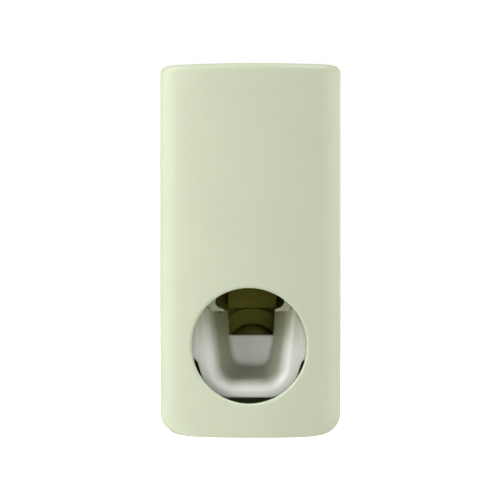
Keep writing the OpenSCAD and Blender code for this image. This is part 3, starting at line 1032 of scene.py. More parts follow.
@dataclass
class FrontCover:
    """The moulded cover: a crowned shell, open at the back, with the round brush window in its front.

    It has an outer and an inner skin. A skin is a stack of plans, and its inset is how deep it lies under
    the outer one. A square patch of each skin is redrawn so that its rows run round the window.

    Attributes:
        crown_radius: The front's radius from side to side.
        side_radius: The radius of the corners between the front and the sides.
        foot_radius: The radius of the bottom corners, seen from the front.
        foot_edge: The radius of the bottom edge, seen from the side.
        window_drop: How much lower the window shows than its hole in the solid.
        rim_edge: The width of the broken edge round the open back.
        patch_half: Half the patch's width.
        patch_steps: The faces along each side of the patch, and so on for the other steps.
        rim_turn: The least turn of an edge that stays sharp or is broken, in degrees.
    """

    wall: float = 2.0
    crown_radius: float = 85.0
    side_radius: float = 11.6
    top_radius: float = 2.8
    inner_top_radius: float = 1.0
    foot_radius: float = 8.5
    foot_edge: float = 0.7
    window_edge: float = 1.2
    window_inner_edge: float = 0.3
    window_drop: float = 0.2
    rim_edge: float = 0.35
    rim_segments: int = 3
    rim_turn: float = 60.0
    patch_half: float = 26.0
    patch_steps: int = 24
    flank_steps: int = 8
    corner_steps: int = 18
    foot_steps: int = 20
    rise_steps: int = 18
    top_steps: int = 10
    edge_steps: int = 8
    inner_edge_steps: int = 3
    draft: Draft = field(default_factory=Draft)

    def crown(self, x: float, inset: float) -> float:
        """Gives the y of the crowned front at a distance from its middle, on a skin inset by a depth."""
        radius = self.crown_radius - inset
        return COVER_LOW[1] + self.crown_radius - math.sqrt(radius**2 - x**2)

    def crown_edge(self, inset: float) -> float:
        """Gives where the crown meets the corner, at full width, on a skin inset by a depth."""
        corner_x = COVER_HIGH[0] - self.side_radius
        return corner_x * (self.crown_radius - inset) / (self.crown_radius - self.side_radius)

    def plan(self, narrow: float, inset: float) -> list[Flat]:
        """Draws a skin's plan at one level.

        Args:
            narrow: How much each side is drawn in there.
            inset: How deep the skin lies.

        Returns:
            The plan's points, from the rear edge on the left round the front to the one on the right.
        """
        big = self.crown_radius - inset
        small = self.side_radius - inset
        middle = COVER_LOW[1] + self.crown_radius
        corner_x = COVER_HIGH[0] - narrow - inset - small
        corner_y = middle - math.sqrt((big - small) ** 2 - corner_x**2)
        turn = math.degrees(math.asin(corner_x / (big - small)))
        side = corner_x + small
        rear = COVER_HIGH[1]
        steps = self.flank_steps
        flank = [(-side, rear + (corner_y - rear) * i / steps) for i in range(steps)]
        left = arc((-corner_x, corner_y), small, 180, 270 - turn, self.corner_steps)
        edge = big * math.sin(math.radians(turn))
        patch = self.patch_half * edge / self.crown_edge(inset)
        step = 2 * patch / self.patch_steps
        across = [-patch + step * i for i in range(self.patch_steps + 1)]
        front = [(x, middle - math.sqrt(big**2 - x**2)) for x in across]
        right = [(-x, y) for x, y in reversed(left)]
        return [*flank, *left, *front, *right, *[(-x, y) for x, y in reversed(flank)]]

    def levels(self, inset: float, foot: float, top: float, edge: float) -> list[Point]:
        """Lists a skin's levels from bottom to top.

        Args:
            inset: How deep the skin lies.
            foot: The radius of its bottom corners.
            top: The radius of its top fillet.
            edge: The radius of its bottom edge.

        Returns:
            The height, the narrowing and the inset of each level.
        """
        low, high = COVER_LOW[2] + inset, COVER_HIGH[2] - inset
        rows = []
        for angle in quarter(self.foot_steps):
            up = foot * (1 - math.cos(angle))
            tuck = edge - math.sqrt(edge**2 - max(edge - up, 0) ** 2)
            rows.append((low + up, foot * (1 - math.sin(angle)), inset + tuck))
        start, end = WINDOW.middle - self.patch_half, WINDOW.middle + self.patch_half
        steps = self.patch_steps
        rows.extend((start + (end - start) * i / steps, 0, inset) for i in range(steps + 1))
        rise, steps = high - top - end, self.rise_steps
        rows.extend((end + rise * i / steps, 0, inset) for i in range(1, steps))
        for angle in quarter(self.top_steps):
            rows.append((high - top * (1 - math.sin(angle)), 0, inset + top * (1 - math.cos(angle))))
        return rows

    def patch_start(self) -> tuple[int, int]:
        """Gives the first column and the first row of the patch round the window."""
        return self.flank_steps + self.corner_steps + 1, self.foot_steps + 1

    def skin(self, inset: float, foot: float, top: float, edge: float) -> list[list[int]]:
        """Draws one skin with its two flat ends, and leaves out the patch round the window.

        Args:
            inset: How deep the skin lies.
            foot: The radius of its bottom corners.
            top: The radius of its top fillet.
            edge: The radius of its bottom edge.

        Returns:
            The places of its points, by level.
        """
        rows = []
        for z, narrow, depth in self.levels(inset, foot, top, edge):
            rows.append(self.draft.add([(x, y, z) for x, y in self.plan(narrow, depth)]))
        first_column, first_row = self.patch_start()
        last_column, last_row = first_column + self.patch_steps, first_row + self.patch_steps
        for k, (lower, upper) in enumerate(zip(rows, rows[1:])):
            if first_row <= k < last_row:
                self.draft.bridge(lower[: first_column + 1], upper[: first_column + 1], closed=False)
                self.draft.bridge(lower[last_column:], upper[last_column:], closed=False)
            else:
                self.draft.bridge(lower, upper, closed=False)
        for end in (rows[0], rows[-1]):
            half = len(end) // 2
            self.draft.bridge(end[:half], end[: half : -1], closed=False)
            self.draft.faces.append((end[half - 1], end[half], end[half + 1]))
        return rows

    def border(self, rows: list[list[int]]) -> list[int]:
        """Walks round the patch.

        Args:
            rows: The places of a skin's points.

        Returns:
            The places of the patch's border, from its lower left corner to the right and round.
        """
        column, row = self.patch_start()
        steps = self.patch_steps
        low = [rows[row][column + i] for i in range(steps)]
        right = [rows[row + i][column + steps] for i in range(steps)]
        high = [rows[row + steps][column + steps - i] for i in range(steps)]
        left = [rows[row + steps - i][column] for i in range(steps)]
        return low + right + high + left

    def ring(self, radius: float, inset: float, sink: float = 0.0) -> list[int]:
        """Draws a ring round the window, from its lower left to the right and round.

        Args:
            radius: Its radius.
            inset: The skin that it lies on.
            sink: How far behind the skin it lies.

        Returns:
            The places of its points.
        """
        count = 4 * self.patch_steps
        start = -0.75 * math.pi
        points = []
        for i in range(count):
            angle = 2 * math.pi * i / count + start
            x = radius * math.cos(angle)
            z = WINDOW.middle - self.window_drop + radius * math.sin(angle)
            points.append((x, self.crown(x, inset) + sink, z))
        return self.draft.add(points)

    def spread_patch(self, border: list[int], circle: list[int], inset: float, steps: int = 5) -> None:
        """Fills a skin between the patch's border and a circle in it.

        Args:
            border: The places of the border.
            circle: The places of the circle.
            inset: How deep the skin lies.
            steps: The number of rows of faces.
        """
        points = self.draft.points
        before = border
        for i in range(1, steps):
            share = i / steps
            between = []
            for a, b in zip(border, circle):
                x = points[a][0] * (1 - share) + points[b][0] * share
                z = points[a][2] * (1 - share) + points[b][2] * share
                between.append((x, self.crown(x, inset), z))
            ring = self.draft.add(between)
            self.draft.bridge(before, ring)
            before = ring
        self.draft.bridge(before, circle)

    def window_rings(self) -> list[list[int]]:
        """Draws the window's rounded edge, its wall and its inner edge.

        Returns:
            The places of the rings' points, from the outer skin to the inner one.
        """
        rings = []
        for angle in quarter(self.edge_steps):
            wider = self.window_edge * (1 - math.sin(angle))
            sink = self.window_edge * (1 - math.cos(angle))
            rings.append(self.ring(WINDOW.radius + wider, 0.0, sink))
        for angle in quarter(self.inner_edge_steps):
            wider = self.window_inner_edge * (1 - math.cos(angle))
            sink = -self.window_inner_edge * (1 - math.sin(angle))
            rings.append(self.ring(WINDOW.radius + wider, self.wall, sink))
        for first, second in zip(rings, rings[1:]):
            self.draft.bridge(first, second)
        return rings

    def build(self) -> Piece:
        """Builds the cover.

        Returns:
            The cover.
        """
        outer = self.skin(0.0, self.foot_radius, self.top_radius, self.foot_edge)
        inner = self.skin(
            self.wall, self.foot_radius - self.wall, self.inner_top_radius, self.foot_edge / 2
        )
        rims = [[row[0] for row in rows] + [row[-1] for row in reversed(rows)] for rows in (outer, inner)]
        self.draft.bridge(rims[0], rims[1])
        rings = self.window_rings()
        self.spread_patch(self.border(outer), rings[0], 0.0)
        self.spread_patch(self.border(inner), rings[-1], self.wall)
        cover = self.draft.make("cover_shell", sharp=self.rim_turn)
        rim = cover.modifiers.new("rim", "BEVEL")
        rim.width = self.rim_edge * MM
        rim.segments = self.rim_segments
        rim.limit_method = "ANGLE"
        rim.angle_limit = math.radians(self.rim_turn)
        return cover

    def dress(self) -> Piece:
        """Builds the cover and ties it to its body."""
        return settle(self.build(), Body.COVER, Finish.sage_shell, "front_cover")


# Push lever


@dataclass(frozen=True)
class ChannelEnd:
    """One end of the channel that the brush lies in.

    Attributes:
        half: Half its width.
        drop: How far its floor lies under the window's middle.
        corner: The radius of its bottom corners.
        taper: How much each side comes in from the middle down to the corner.
        flare: How much wider each side gets for every step up.
    """

    half: float
    drop: float
    corner: float
    taper: float
    flare: float


@dataclass
class BrushCup:
    """The lever: a cup that takes the brush head, hung from two arms, with a boss that presses the dome.

    Both sides are alike, so each part takes x as the distance from the middle. The front plate is called
    the lip. The lip widens into ears where the arms hang, and its middle is open above two shoulders. A
    yoke behind the lip joins the arms. The channel runs back from its mouth to a panel at its end.

    Attributes:
        lean: How far the lip's sides lean outward, in degrees.
        waist: The height where the lip's sides reach their full width.
        ear_rise: How far the ears' underside rises on its way out.
        ear_short: How far the ears end under the lever's top.
        lip_full: The height under which the lip's middle is whole.
        knee: The height over which the channel's sides turn from taper to flare.
        even: The share that brings the slanted sides' distances back to true ones.
        channel_top: The height where the bowl behind the lip ends.
        panel_top: The height over which the panel's plane is open, and the dark inside shows.
        notch: The fillet between the yoke and the bowl.
        blend: The radius of the mouth's rounded edge, over a depth of blend_depth.
        stroke: How far the boss' end is slanted, so that it meets the pressed dome squarely, in degrees.
        pivot: The pin's depth and height.
        hub_turn: The angles between which the hub's rim shows, in degrees.
        past: How far a form runs on into its neighbour.
        soft: The radius of most edges.
        crisp: The radius of the lip's edges.
        seam: The fillet where two forms meet.
    """

    half: float = 20.7
    lean: float = 16.8
    waist: float = -6.6
    ear_half: float = 24.0
    ear_rise: float = 2.4
    ear_short: float = 1.0
    drop: float = 20.85
    corner: float = 8.0
    front: float = 6.3
    lip_back: float = 8.7
    lip_top: float = 15.0
    lip_full: float = 7.5
    lip_corner: float = 4.5
    shoulder_half: float = 14.2
    top: float = 25.0
    yoke_back: float = 11.0
    yoke_half: float = 13.6
    yoke_corner: float = 3.8
    yoke_overlap: float = 0.1
    arm_half: float = 20.4
    arm_overlap: float = 0.3
    arm_fillet: float = 0.5
    mouth: ChannelEnd = ChannelEnd(half=14.2, drop=15.5, corner=5.0, taper=1.2, flare=0.12)
    panel: ChannelEnd = ChannelEnd(half=8.9, drop=9.4, corner=3.6, taper=1.5, flare=0.05)
    panel_in: float = 24.0
    panel_edge: float = 1.7
    panel_top: float = 2.9
    wall: float = 2.0
    knee: float = 3.0
    even: float = 0.95
    channel_top: float = 12.8
    notch: float = 4.0
    blend: float = 3.0
    blend_depth: float = 5.5
    boss_radius: float = 6.2
    boss_up: float = -4.0
    boss_tip: float = 34.2
    boss_edge: float = 1.0
    boss_fillet: float = 1.2
    stroke: float = 12.0
    pivot: Flat = (20.0, 33.5)
    hub: float = 3.25
    hub_turn: Flat = (125.0, -18.0)
    hub_steps: int = 12
    bore: float = 1.3
    past: float = 1.0
    soft: float = 0.6
    crisp: float = 0.2
    seam: float = 0.4

    def channel(self, at: Spot, grow: float) -> np.ndarray:
        """Gives the distance to the channel, which narrows and rises from its mouth to the panel.

        Args:
            at: The places.
            grow: How much wider it is drawn on all sides.

        Returns:
            The distances.
        """
        share = (at.depth - self.front) / (self.panel_in - self.front)
        inner = np.clip(share, 0, 1)
        mouth, panel = self.mouth, self.panel
        half = mouth.half + (panel.half - mouth.half) * share
        drop = mouth.drop + (panel.drop - mouth.drop) * share
        corner = mouth.corner + (panel.corner - mouth.corner) * inner
        taper = mouth.taper + (panel.taper - mouth.taper) * inner
        flare = mouth.flare + (panel.flare - mouth.flare) * inner
        lean = taper / (drop - corner)
        turn = np.hypot(at.up, self.knee)
        flank = (at.x - half - lean * (at.up - turn) / 2 - flare * (at.up + turn) / 2) * self.even
        floor = (-at.up - drop) * self.even
        return cut_round(flank - grow, floor - grow, corner + grow)

    def lip(self, at: Spot) -> np.ndarray:
        """Gives the distance to the lip with its ears.

        Args:
            at: The places.

        Returns:
            The distances.
        """
        lean = math.radians(self.lean)
        flank = math.cos(lean) * (at.x - self.half) - math.sin(lean) * (at.up - self.waist)
        bowl = cut_round(flank, -self.drop - at.up, self.corner)
        bowl = np.maximum(bowl, at.up - self.waist - self.ear_rise)
        slope = math.atan2(self.ear_rise, self.ear_half - self.half)
        under = math.sin(slope) * (at.x - self.half) - math.cos(slope) * (at.up - self.waist)
        ears = cut_round(at.x - self.ear_half, under, self.soft)
        ears = cut_round(ears, at.up - self.top + self.ear_short, self.soft)
        ears = np.maximum(ears, self.half / 2 - at.x)
        plate = join_round(bowl, ears, self.soft)
        return cut_round(plate, slab(at.depth, self.front, self.lip_back), self.crisp)

    def shoulders(self, at: Spot) -> np.ndarray:
        """Gives the distance to what stays of the lip's layer, which is open above its rounded shoulders.

        Args:
            at: The places.

        Returns:
            The distances.
        """
        shoulder = cut_round(self.shoulder_half - at.x, at.up - self.lip_top, self.lip_corner)
        kept = np.minimum(np.minimum(shoulder, self.arm_half - at.x), at.up - self.lip_full)
        return np.minimum(kept, self.lip_back - at.depth)

    def bowl(self, at: Spot) -> np.ndarray:
        """Gives the distance to the bowl behind the lip, whose wall follows the channel.

        Args:
            at: The places.

        Returns:
            The distances.
        """
        layer = slab(at.depth, self.front + self.past, self.panel_in + self.wall)
        bowl = cut_round(self.channel(at, self.wall), layer, self.soft)
        return cut_round(bowl, at.up - self.channel_top, self.soft)

    def yoke(self, at: Spot) -> np.ndarray:
        """Gives the distance to the yoke, an arch over the bowl with rounded inner corners.

        Args:
            at: The places.

        Returns:
            The distances.
        """
        layer = slab(at.depth, self.lip_back - self.yoke_overlap, self.yoke_back)
        yoke = cut_round(slab(at.up, 0.0, self.top), layer, self.soft)
        yoke = np.maximum(yoke, at.x - self.arm_half - self.arm_overlap)
        gap = join_round(self.yoke_half - at.x, at.up - self.channel_top, self.yoke_corner)
        return cut_round(yoke, gap, self.soft)

    def boss(self, at: Spot) -> np.ndarray:
        """Gives the distance to the boss behind the panel.

        Args:
            at: The places.

        Returns:
            The distances.
        """
        stroke = math.radians(self.stroke)
        end = math.cos(stroke) * (at.depth - self.boss_tip)
        end = end - math.sin(stroke) * (at.up - self.boss_up - self.boss_radius)
        start = self.panel_in + self.wall - self.past - at.depth
        rod = np.hypot(at.x, at.up - self.boss_up) - self.boss_radius
        return cut_round(rod, np.maximum(end, start), self.boss_edge)

    def hollow(self, at: Spot) -> np.ndarray:
        """Gives the distance to the cup's hollow, which stays clear of the yoke's rounded corners.

        Args:
            at: The places.

        Returns:
            The distances.
        """
        hollow = cut_round(self.channel(at, 0.0), at.depth - self.panel_in, self.panel_edge)
        web = np.minimum(at.up - self.channel_top, at.x - self.yoke_half + self.yoke_corner)
        return np.maximum(hollow, np.minimum(web, at.depth - self.lip_back))

    def gate(self, at: Spot) -> np.ndarray:
        """Gives the distance to the opening over the panel.

        Args:
            at: The places.

        Returns:
            The distances.
        """
        through = at._replace(depth=np.full_like(at.depth, self.panel_in))
        gate = np.maximum(self.channel(through, 0.0), self.panel_top - at.up)
        return np.maximum(gate, self.panel_in - 2 * self.past - at.depth)

    def arms(self, at: Spot) -> np.ndarray:
        """Gives the distance to the two arms, drawn out to their hubs round the pin.

        Args:
            at: The places.

        Returns:
            The distances.
        """
        shape = [(self.lip_back, 0.0), (self.front, 0.0), (self.front, self.top - self.ear_short)]
        shape += arc(self.pivot, self.hub, *self.hub_turn, self.hub_steps)
        flat = outline(at.depth, at.up, shape)
        return cut_round(flat, slab(at.x, self.arm_half, self.ear_half), self.soft / 2)

    def bores(self, at: Spot) -> np.ndarray:
        """Gives the distance to the pin's bores through the arms."""
        pin = np.hypot(at.depth - self.pivot[0], at.up - self.pivot[1]) - self.bore
        return np.maximum(pin, self.arm_half - 2 * self.past - at.x)

    def form(self, at: Spot) -> np.ndarray:
        """Gives the distance to the whole lever.

        Args:
            at: The places, with x from left to right.

        Returns:
            The distances, negative inside.
        """
        at = at._replace(x=np.abs(at.x))
        bowl, yoke, hollow = self.bowl(at), self.yoke(at), self.hollow(at)
        solid = join_round(self.lip(at), bowl, self.seam)
        solid = join_round(solid, yoke, self.seam)
        solid = np.minimum(solid, join_round(yoke, np.maximum(bowl, -self.past), self.notch))
        solid = join_round(solid, self.boss(at), self.boss_fillet)
        solid = cut_round(solid, self.shoulders(at), self.soft)
        solid = cut_round(solid, -hollow, self.soft)
        ahead = (self.front - at.depth) * self.blend / self.blend_depth
        solid = np.maximum(solid, cut_round(-hollow, ahead, self.blend))
        solid = cut_round(solid, -self.gate(at), self.soft)
        solid = join_round(solid, self.arms(at), self.arm_fillet)
        return np.maximum(solid, -self.bores(at))

    def dress(self) -> Piece:
        """Builds the lever and ties it to its body.

        Returns:
            The lever.
        """
        low, high = (WINDOW.spot_of(corner) for corner in corners("push_lever"))
        cup = Moulding("brush_cup", self.form, low, high).make()
        return settle(cup, Body.LEVER, Finish.white_gloss, "push_lever")


# Pump


@dataclass(frozen=True)
class Screw:
    """A small screw with a crossed recess and a cut thread.

    Attributes:
        seat: The middle of the plane that the head rests on, or is flush with when it is sunk.
        axis: The axis that it lies along.
        sense: 1 if it points along the axis, and -1 if against it.
        head: The height of a raised head.
        sunk: The depth of a countersunk head, or 0 for a raised one.
        pitch: The distance between two turns of the thread.
        thread: The depth of the thread.
        step: The size of the mesh's facets.
        recess: The recess' arm, half its width and its depth, as shares of the head's radius.
        tip_edge: The radius at the end of the shank.
        head_edge: The radius round a raised head.
        sunk_edge: The radius round a sunk head.
        recess_edge: The radius round the recess.
    """

    name: str
    seat: Point
    axis: Axis
    sense: int
    radius: float = 0.9
    length: float = 5.6
    head_radius: float = 1.5
    head: float = 0.9
    sunk: float = 0.0
    pitch: float = 0.7
    thread: float = 0.14
    step: float = 0.14
    recess: Point = (0.66, 0.15, 0.4)
    tip_edge: float = 0.2
    head_edge: float = 0.35
    sunk_edge: float = 0.1
    recess_edge: float = 0.06

    def head_form(self, radial: np.ndarray, along: np.ndarray) -> np.ndarray:
        """Gives the distance to the head.

        Args:
            radial: The distances from the screw's axis.
            along: The distances along it from the seat.

        Returns:
            The distances.
        """
        if not self.sunk:
            return cut_round(radial - self.head_radius, slab(along, -self.head, 0.0), self.head_edge)
        fall = self.head_radius - self.radius
        cone = radial - self.head_radius + fall * along / self.sunk
        cone = cone * self.sunk / math.hypot(self.sunk, fall)
        return cut_round(cone, slab(along, 0.0, self.sunk), self.sunk_edge)

    def form(self, at: Spot) -> np.ndarray:
        """Gives the distance to the screw.

        Args:
            at: The places.

        Returns:
            The distances, negative inside.
        """
        spot = [place - seat for place, seat in zip(at, self.seat)]
        u, v, ahead = (spot[k] for k in self.axis.value)
        along = ahead * self.sense
        radial = np.hypot(u, v)
        wave = np.cos(2 * math.pi * along / self.pitch - np.arctan2(v, u)) * 0.5 + 0.5
        thread = radial - self.radius + self.thread * wave
        shank = cut_round(thread, slab(along, 0.0, self.length), self.tip_edge)
        arm, half, deep = (self.head_radius * share for share in self.recess)
        level = np.maximum(np.abs(u) - half, np.abs(v) - arm)
        upright = np.maximum(np.abs(v) - half, np.abs(u) - arm)
        recess = np.maximum(np.minimum(level, upright), along + self.head - deep)
        solid = np.minimum(shank, self.head_form(radial, along))
        return cut_round(solid, -recess, self.recess_edge)

    def build(self) -> Piece:
        """Builds the screw.

        Returns:
            The screw.
        """
        low, high = list(self.seat), list(self.seat)
        across, over, ahead = self.axis.value
        for k in (across, over):
            low[k] -= self.head_radius
            high[k] += self.head_radius
        ends = sorted((-self.head * self.sense, self.length * self.sense))
        low[ahead] += ends[0]
        high[ahead] += ends[1]
        moulding = Moulding(self.name, self.form, tuple(low), tuple(high), self.step)
        return moulding.make(sharp=40.0)


@dataclass
class Pump:
    """The pump: a housing that holds the ducts, and a soft dome clamped under a screwed ring.

    Attributes:
        press_up: The height of the dome's middle over the window's.
        flange_in: The depth of the plane that the dome's flange lies on.
        dome_corner: The radius round the dome's top.
        skin: The dome's wall.
        foot: The fillet between the dome and its flange.
        pad_radius: The radius of the pad that the boss presses.
        groove: The width of the groove round the pad.
        ring_screw_circle: The radius of the circle that the ring's screws lie on.
        ring_screw_turn: The first one's angle on it, in degrees.
        ring_seat: The depth of the ring's face under the screws' heads.
        plate_in: The depth of the back plate's rear face, where the housing's screws are sunk.
        squashed: How much of the dome's height stays when the lever is pressed; not used.
    """

    press_up: float = -4.0
    flange_in: float = 43.0
    flange_radius: float = 14.4
    flange_edge: float = 0.3
    dome_radius: float = 10.2
    dome_height: float = 8.5
    dome_corner: float = 3.0
    skin: float = 1.5
    foot: float = 0.4
    pad_radius: float = 6.2
    groove: float = 0.9
    groove_deep: float = 0.3
    groove_slant: float = 0.2
    ring_screw_count: int = 4
    ring_screw_circle: float = 15.75
    ring_screw_turn: float = 45.0
    ring_seat: float = 39.5
    plate_in: float = 51.1
    screw_x: float = 20.0
    screw_up: Flat = (-18.0, 15.0)
    squashed: float = 0.3

    def dome(self) -> Piece:
        """Builds the soft dome with the pad that the boss presses.

        Returns:
            The dome.
        """
        top, radius, corner = self.dome_height, self.dome_radius, self.dome_corner
        pad, edge = self.pad_radius, self.flange_edge
        groove = top - self.groove_deep
        shape = [(0.0, top), (pad - self.groove, top), (pad - self.groove + self.groove_slant, groove)]
        shape += [(pad - self.groove_slant, groove), (pad, top)]
        shape += arc((radius - corner, top - corner), corner, 90, 0, steps=10)
        shape += arc((radius + self.foot, self.skin + self.foot), self.foot, 180, 270, steps=5)
        shape += arc((self.flange_radius - edge, self.skin - edge), edge, 90, 0, steps=4)
        shape += [(self.flange_radius, 0.0), (radius - self.skin, 0.0)]
        shape += arc((radius - corner, top - corner), corner - self.skin, 0, 90, steps=8)
        shape += [(0.0, top - self.skin)]
        centre = WINDOW.at(0.0, self.flange_in, self.press_up)
        return turned("pump_dome", [(r, -h) for r, h in shape], centre, Axis.BACK, steps=96)

    def ring_screws(self) -> list[Screw]:
        """Lists the screws of the ring.

        Returns:
            The screws.
        """
        places = round_places(self.ring_screw_count, self.ring_screw_circle, self.ring_screw_turn)
        seats = [(x, self.ring_seat, self.press_up + up) for x, up in places]
        return [Screw(f"ring_screw_{k}", seat, Axis.BACK, sense=1) for k, seat in enumerate(seats)]

    def housing_screws(self) -> list[Screw]:
        """Lists the larger screws that hold the housing from behind.

        Returns:
            The screws.
        """
        first = Screw(
            name="housing_screw_0",
            seat=(-self.screw_x, self.plate_in, self.screw_up[0]),
            axis=Axis.BACK,
            sense=-1,
            radius=1.5,
            length=6.6,
            head_radius=2.7,
            head=0.0,
            sunk=1.6,
            pitch=1.0,
            thread=0.2,
            step=0.16,
        )
        seats = [(x, self.plate_in, up) for x in (-self.screw_x, self.screw_x) for up in self.screw_up]
        return [replace(first, name=f"housing_screw_{k}", seat=seat) for k, seat in enumerate(seats)]

    def dress(self) -> None:
        """Builds the pump's pieces and ties them to their body."""
        keep("pump_housing", Finish.olive_inner, edge=0.3)
        keep("duct_plugs", Finish.olive_inner, edge=0.15)
        keep("diaphragm_ring", Finish.olive_inner, edge=0.3)
        dome = settle(self.dome(), Body.CHASSIS, Finish.olive_silicone, "pump_diaphragm")
        anchor = tuple(c * MM for c in WINDOW.at(0.0, self.flange_in, self.press_up))
        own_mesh(dome)
        for screw in self.ring_screws():
            settle(screw.build(), Body.CHASSIS, Finish.screw_steel, "ring_screws")
        for screw in self.housing_screws():
            settle(screw.build(), Body.CHASSIS, Finish.screw_steel, "housing_screws")


@dataclass
class TubeSeat:
    """The socket that the tube's neck is pushed into, with its collar, screws and valve.

    Attributes:
        middle_in: The depth of the socket's axis.
        deck: The height of the housing's deck.
        top: The height of the socket's top.
        neck: How deep the bore takes the tube's neck.
        lead: The width of the chamfer at the bore's mouth.
        throat: The radius of the hole under the bore.
        groove: The radius of the grooves that grip the neck.
        collar_top: The height of the collar under its screws' heads.
        screw_circle: The radius of the circle that the collar's screws lie on.
        screw_turn: The first one's angle on it, in degrees.
    """

    middle_in: float = 30.0
    deck: float = 40.0
    radius: float = 10.5
    flange_radius: float = 12.9
    flange: float = 2.0
    flange_edge: float = 0.3
    top: float = 49.5
    top_edge: float = 0.9
    bore: float = 6.5
    neck: float = 8.5
    lead: float = 0.8
    lead_edge: float = 0.2
    throat: float = 3.0
    groove: float = 0.35
    grooves: int = 3
    collar_top: float = 44.0
    screw_count: int = 3
    screw_circle: float = 14.3
    screw_turn: float = 90.0

    def socket(self) -> Piece:
        """Builds the soft socket, with a funnel mouth and grooves that grip the neck.

        Returns:
            The socket.
        """
        flange_top, edge = self.deck + self.flange, self.flange_edge
        shape = [(self.throat, self.deck), (self.flange_radius, self.deck)]
        shape += arc((self.flange_radius - edge, flange_top - edge), edge, 0, 90, steps=4)
        shape += [(self.radius, flange_top)]
        edge = self.top_edge
        shape += arc((self.radius - edge, self.top - edge), edge, 0, 90, steps=8)
        edge = self.lead_edge
        shape += arc((self.bore + self.lead + edge, self.top - edge), edge, 90, 135, steps=3)
        shape += [(self.bore, self.top - self.lead)]
        floor = self.top - self.neck
        for k in range(self.grooves, 0, -1):
            level = floor + (self.neck - self.lead) * k / (self.grooves + 1)
            shape += arc((self.bore, level), self.groove, 90, -90, steps=6)
        shape += [(self.bore, floor), (self.throat, floor)]
        return turned("tube_seat", shape, WINDOW.at(0.0, self.middle_in, 0.0), Axis.UP, steps=96)

    def screws(self) -> list[Screw]:
        """Lists the collar's screws.

        Returns:
            The screws.
        """
        places = round_places(self.screw_count, self.screw_circle, self.screw_turn)
        seats = [(x, self.middle_in + depth, self.collar_top) for x, depth in places]
        return [Screw(f"collar_screw_{k}", seat, Axis.UP, sense=-1) for k, seat in enumerate(seats)]

    def dress(self) -> None:
        """Builds the seat's pieces and ties them to their body."""
        settle(self.socket(), Body.CHASSIS, Finish.clear_silicone, "tube_socket")
        keep("socket_collar", Finish.white_plastic, edge=0.3)
        keep("inlet_valve", Finish.olive_silicone, edge=0.1)
        for screw in self.screws():
            settle(screw.build(), Body.CHASSIS, Finish.screw_steel, "collar_screws")


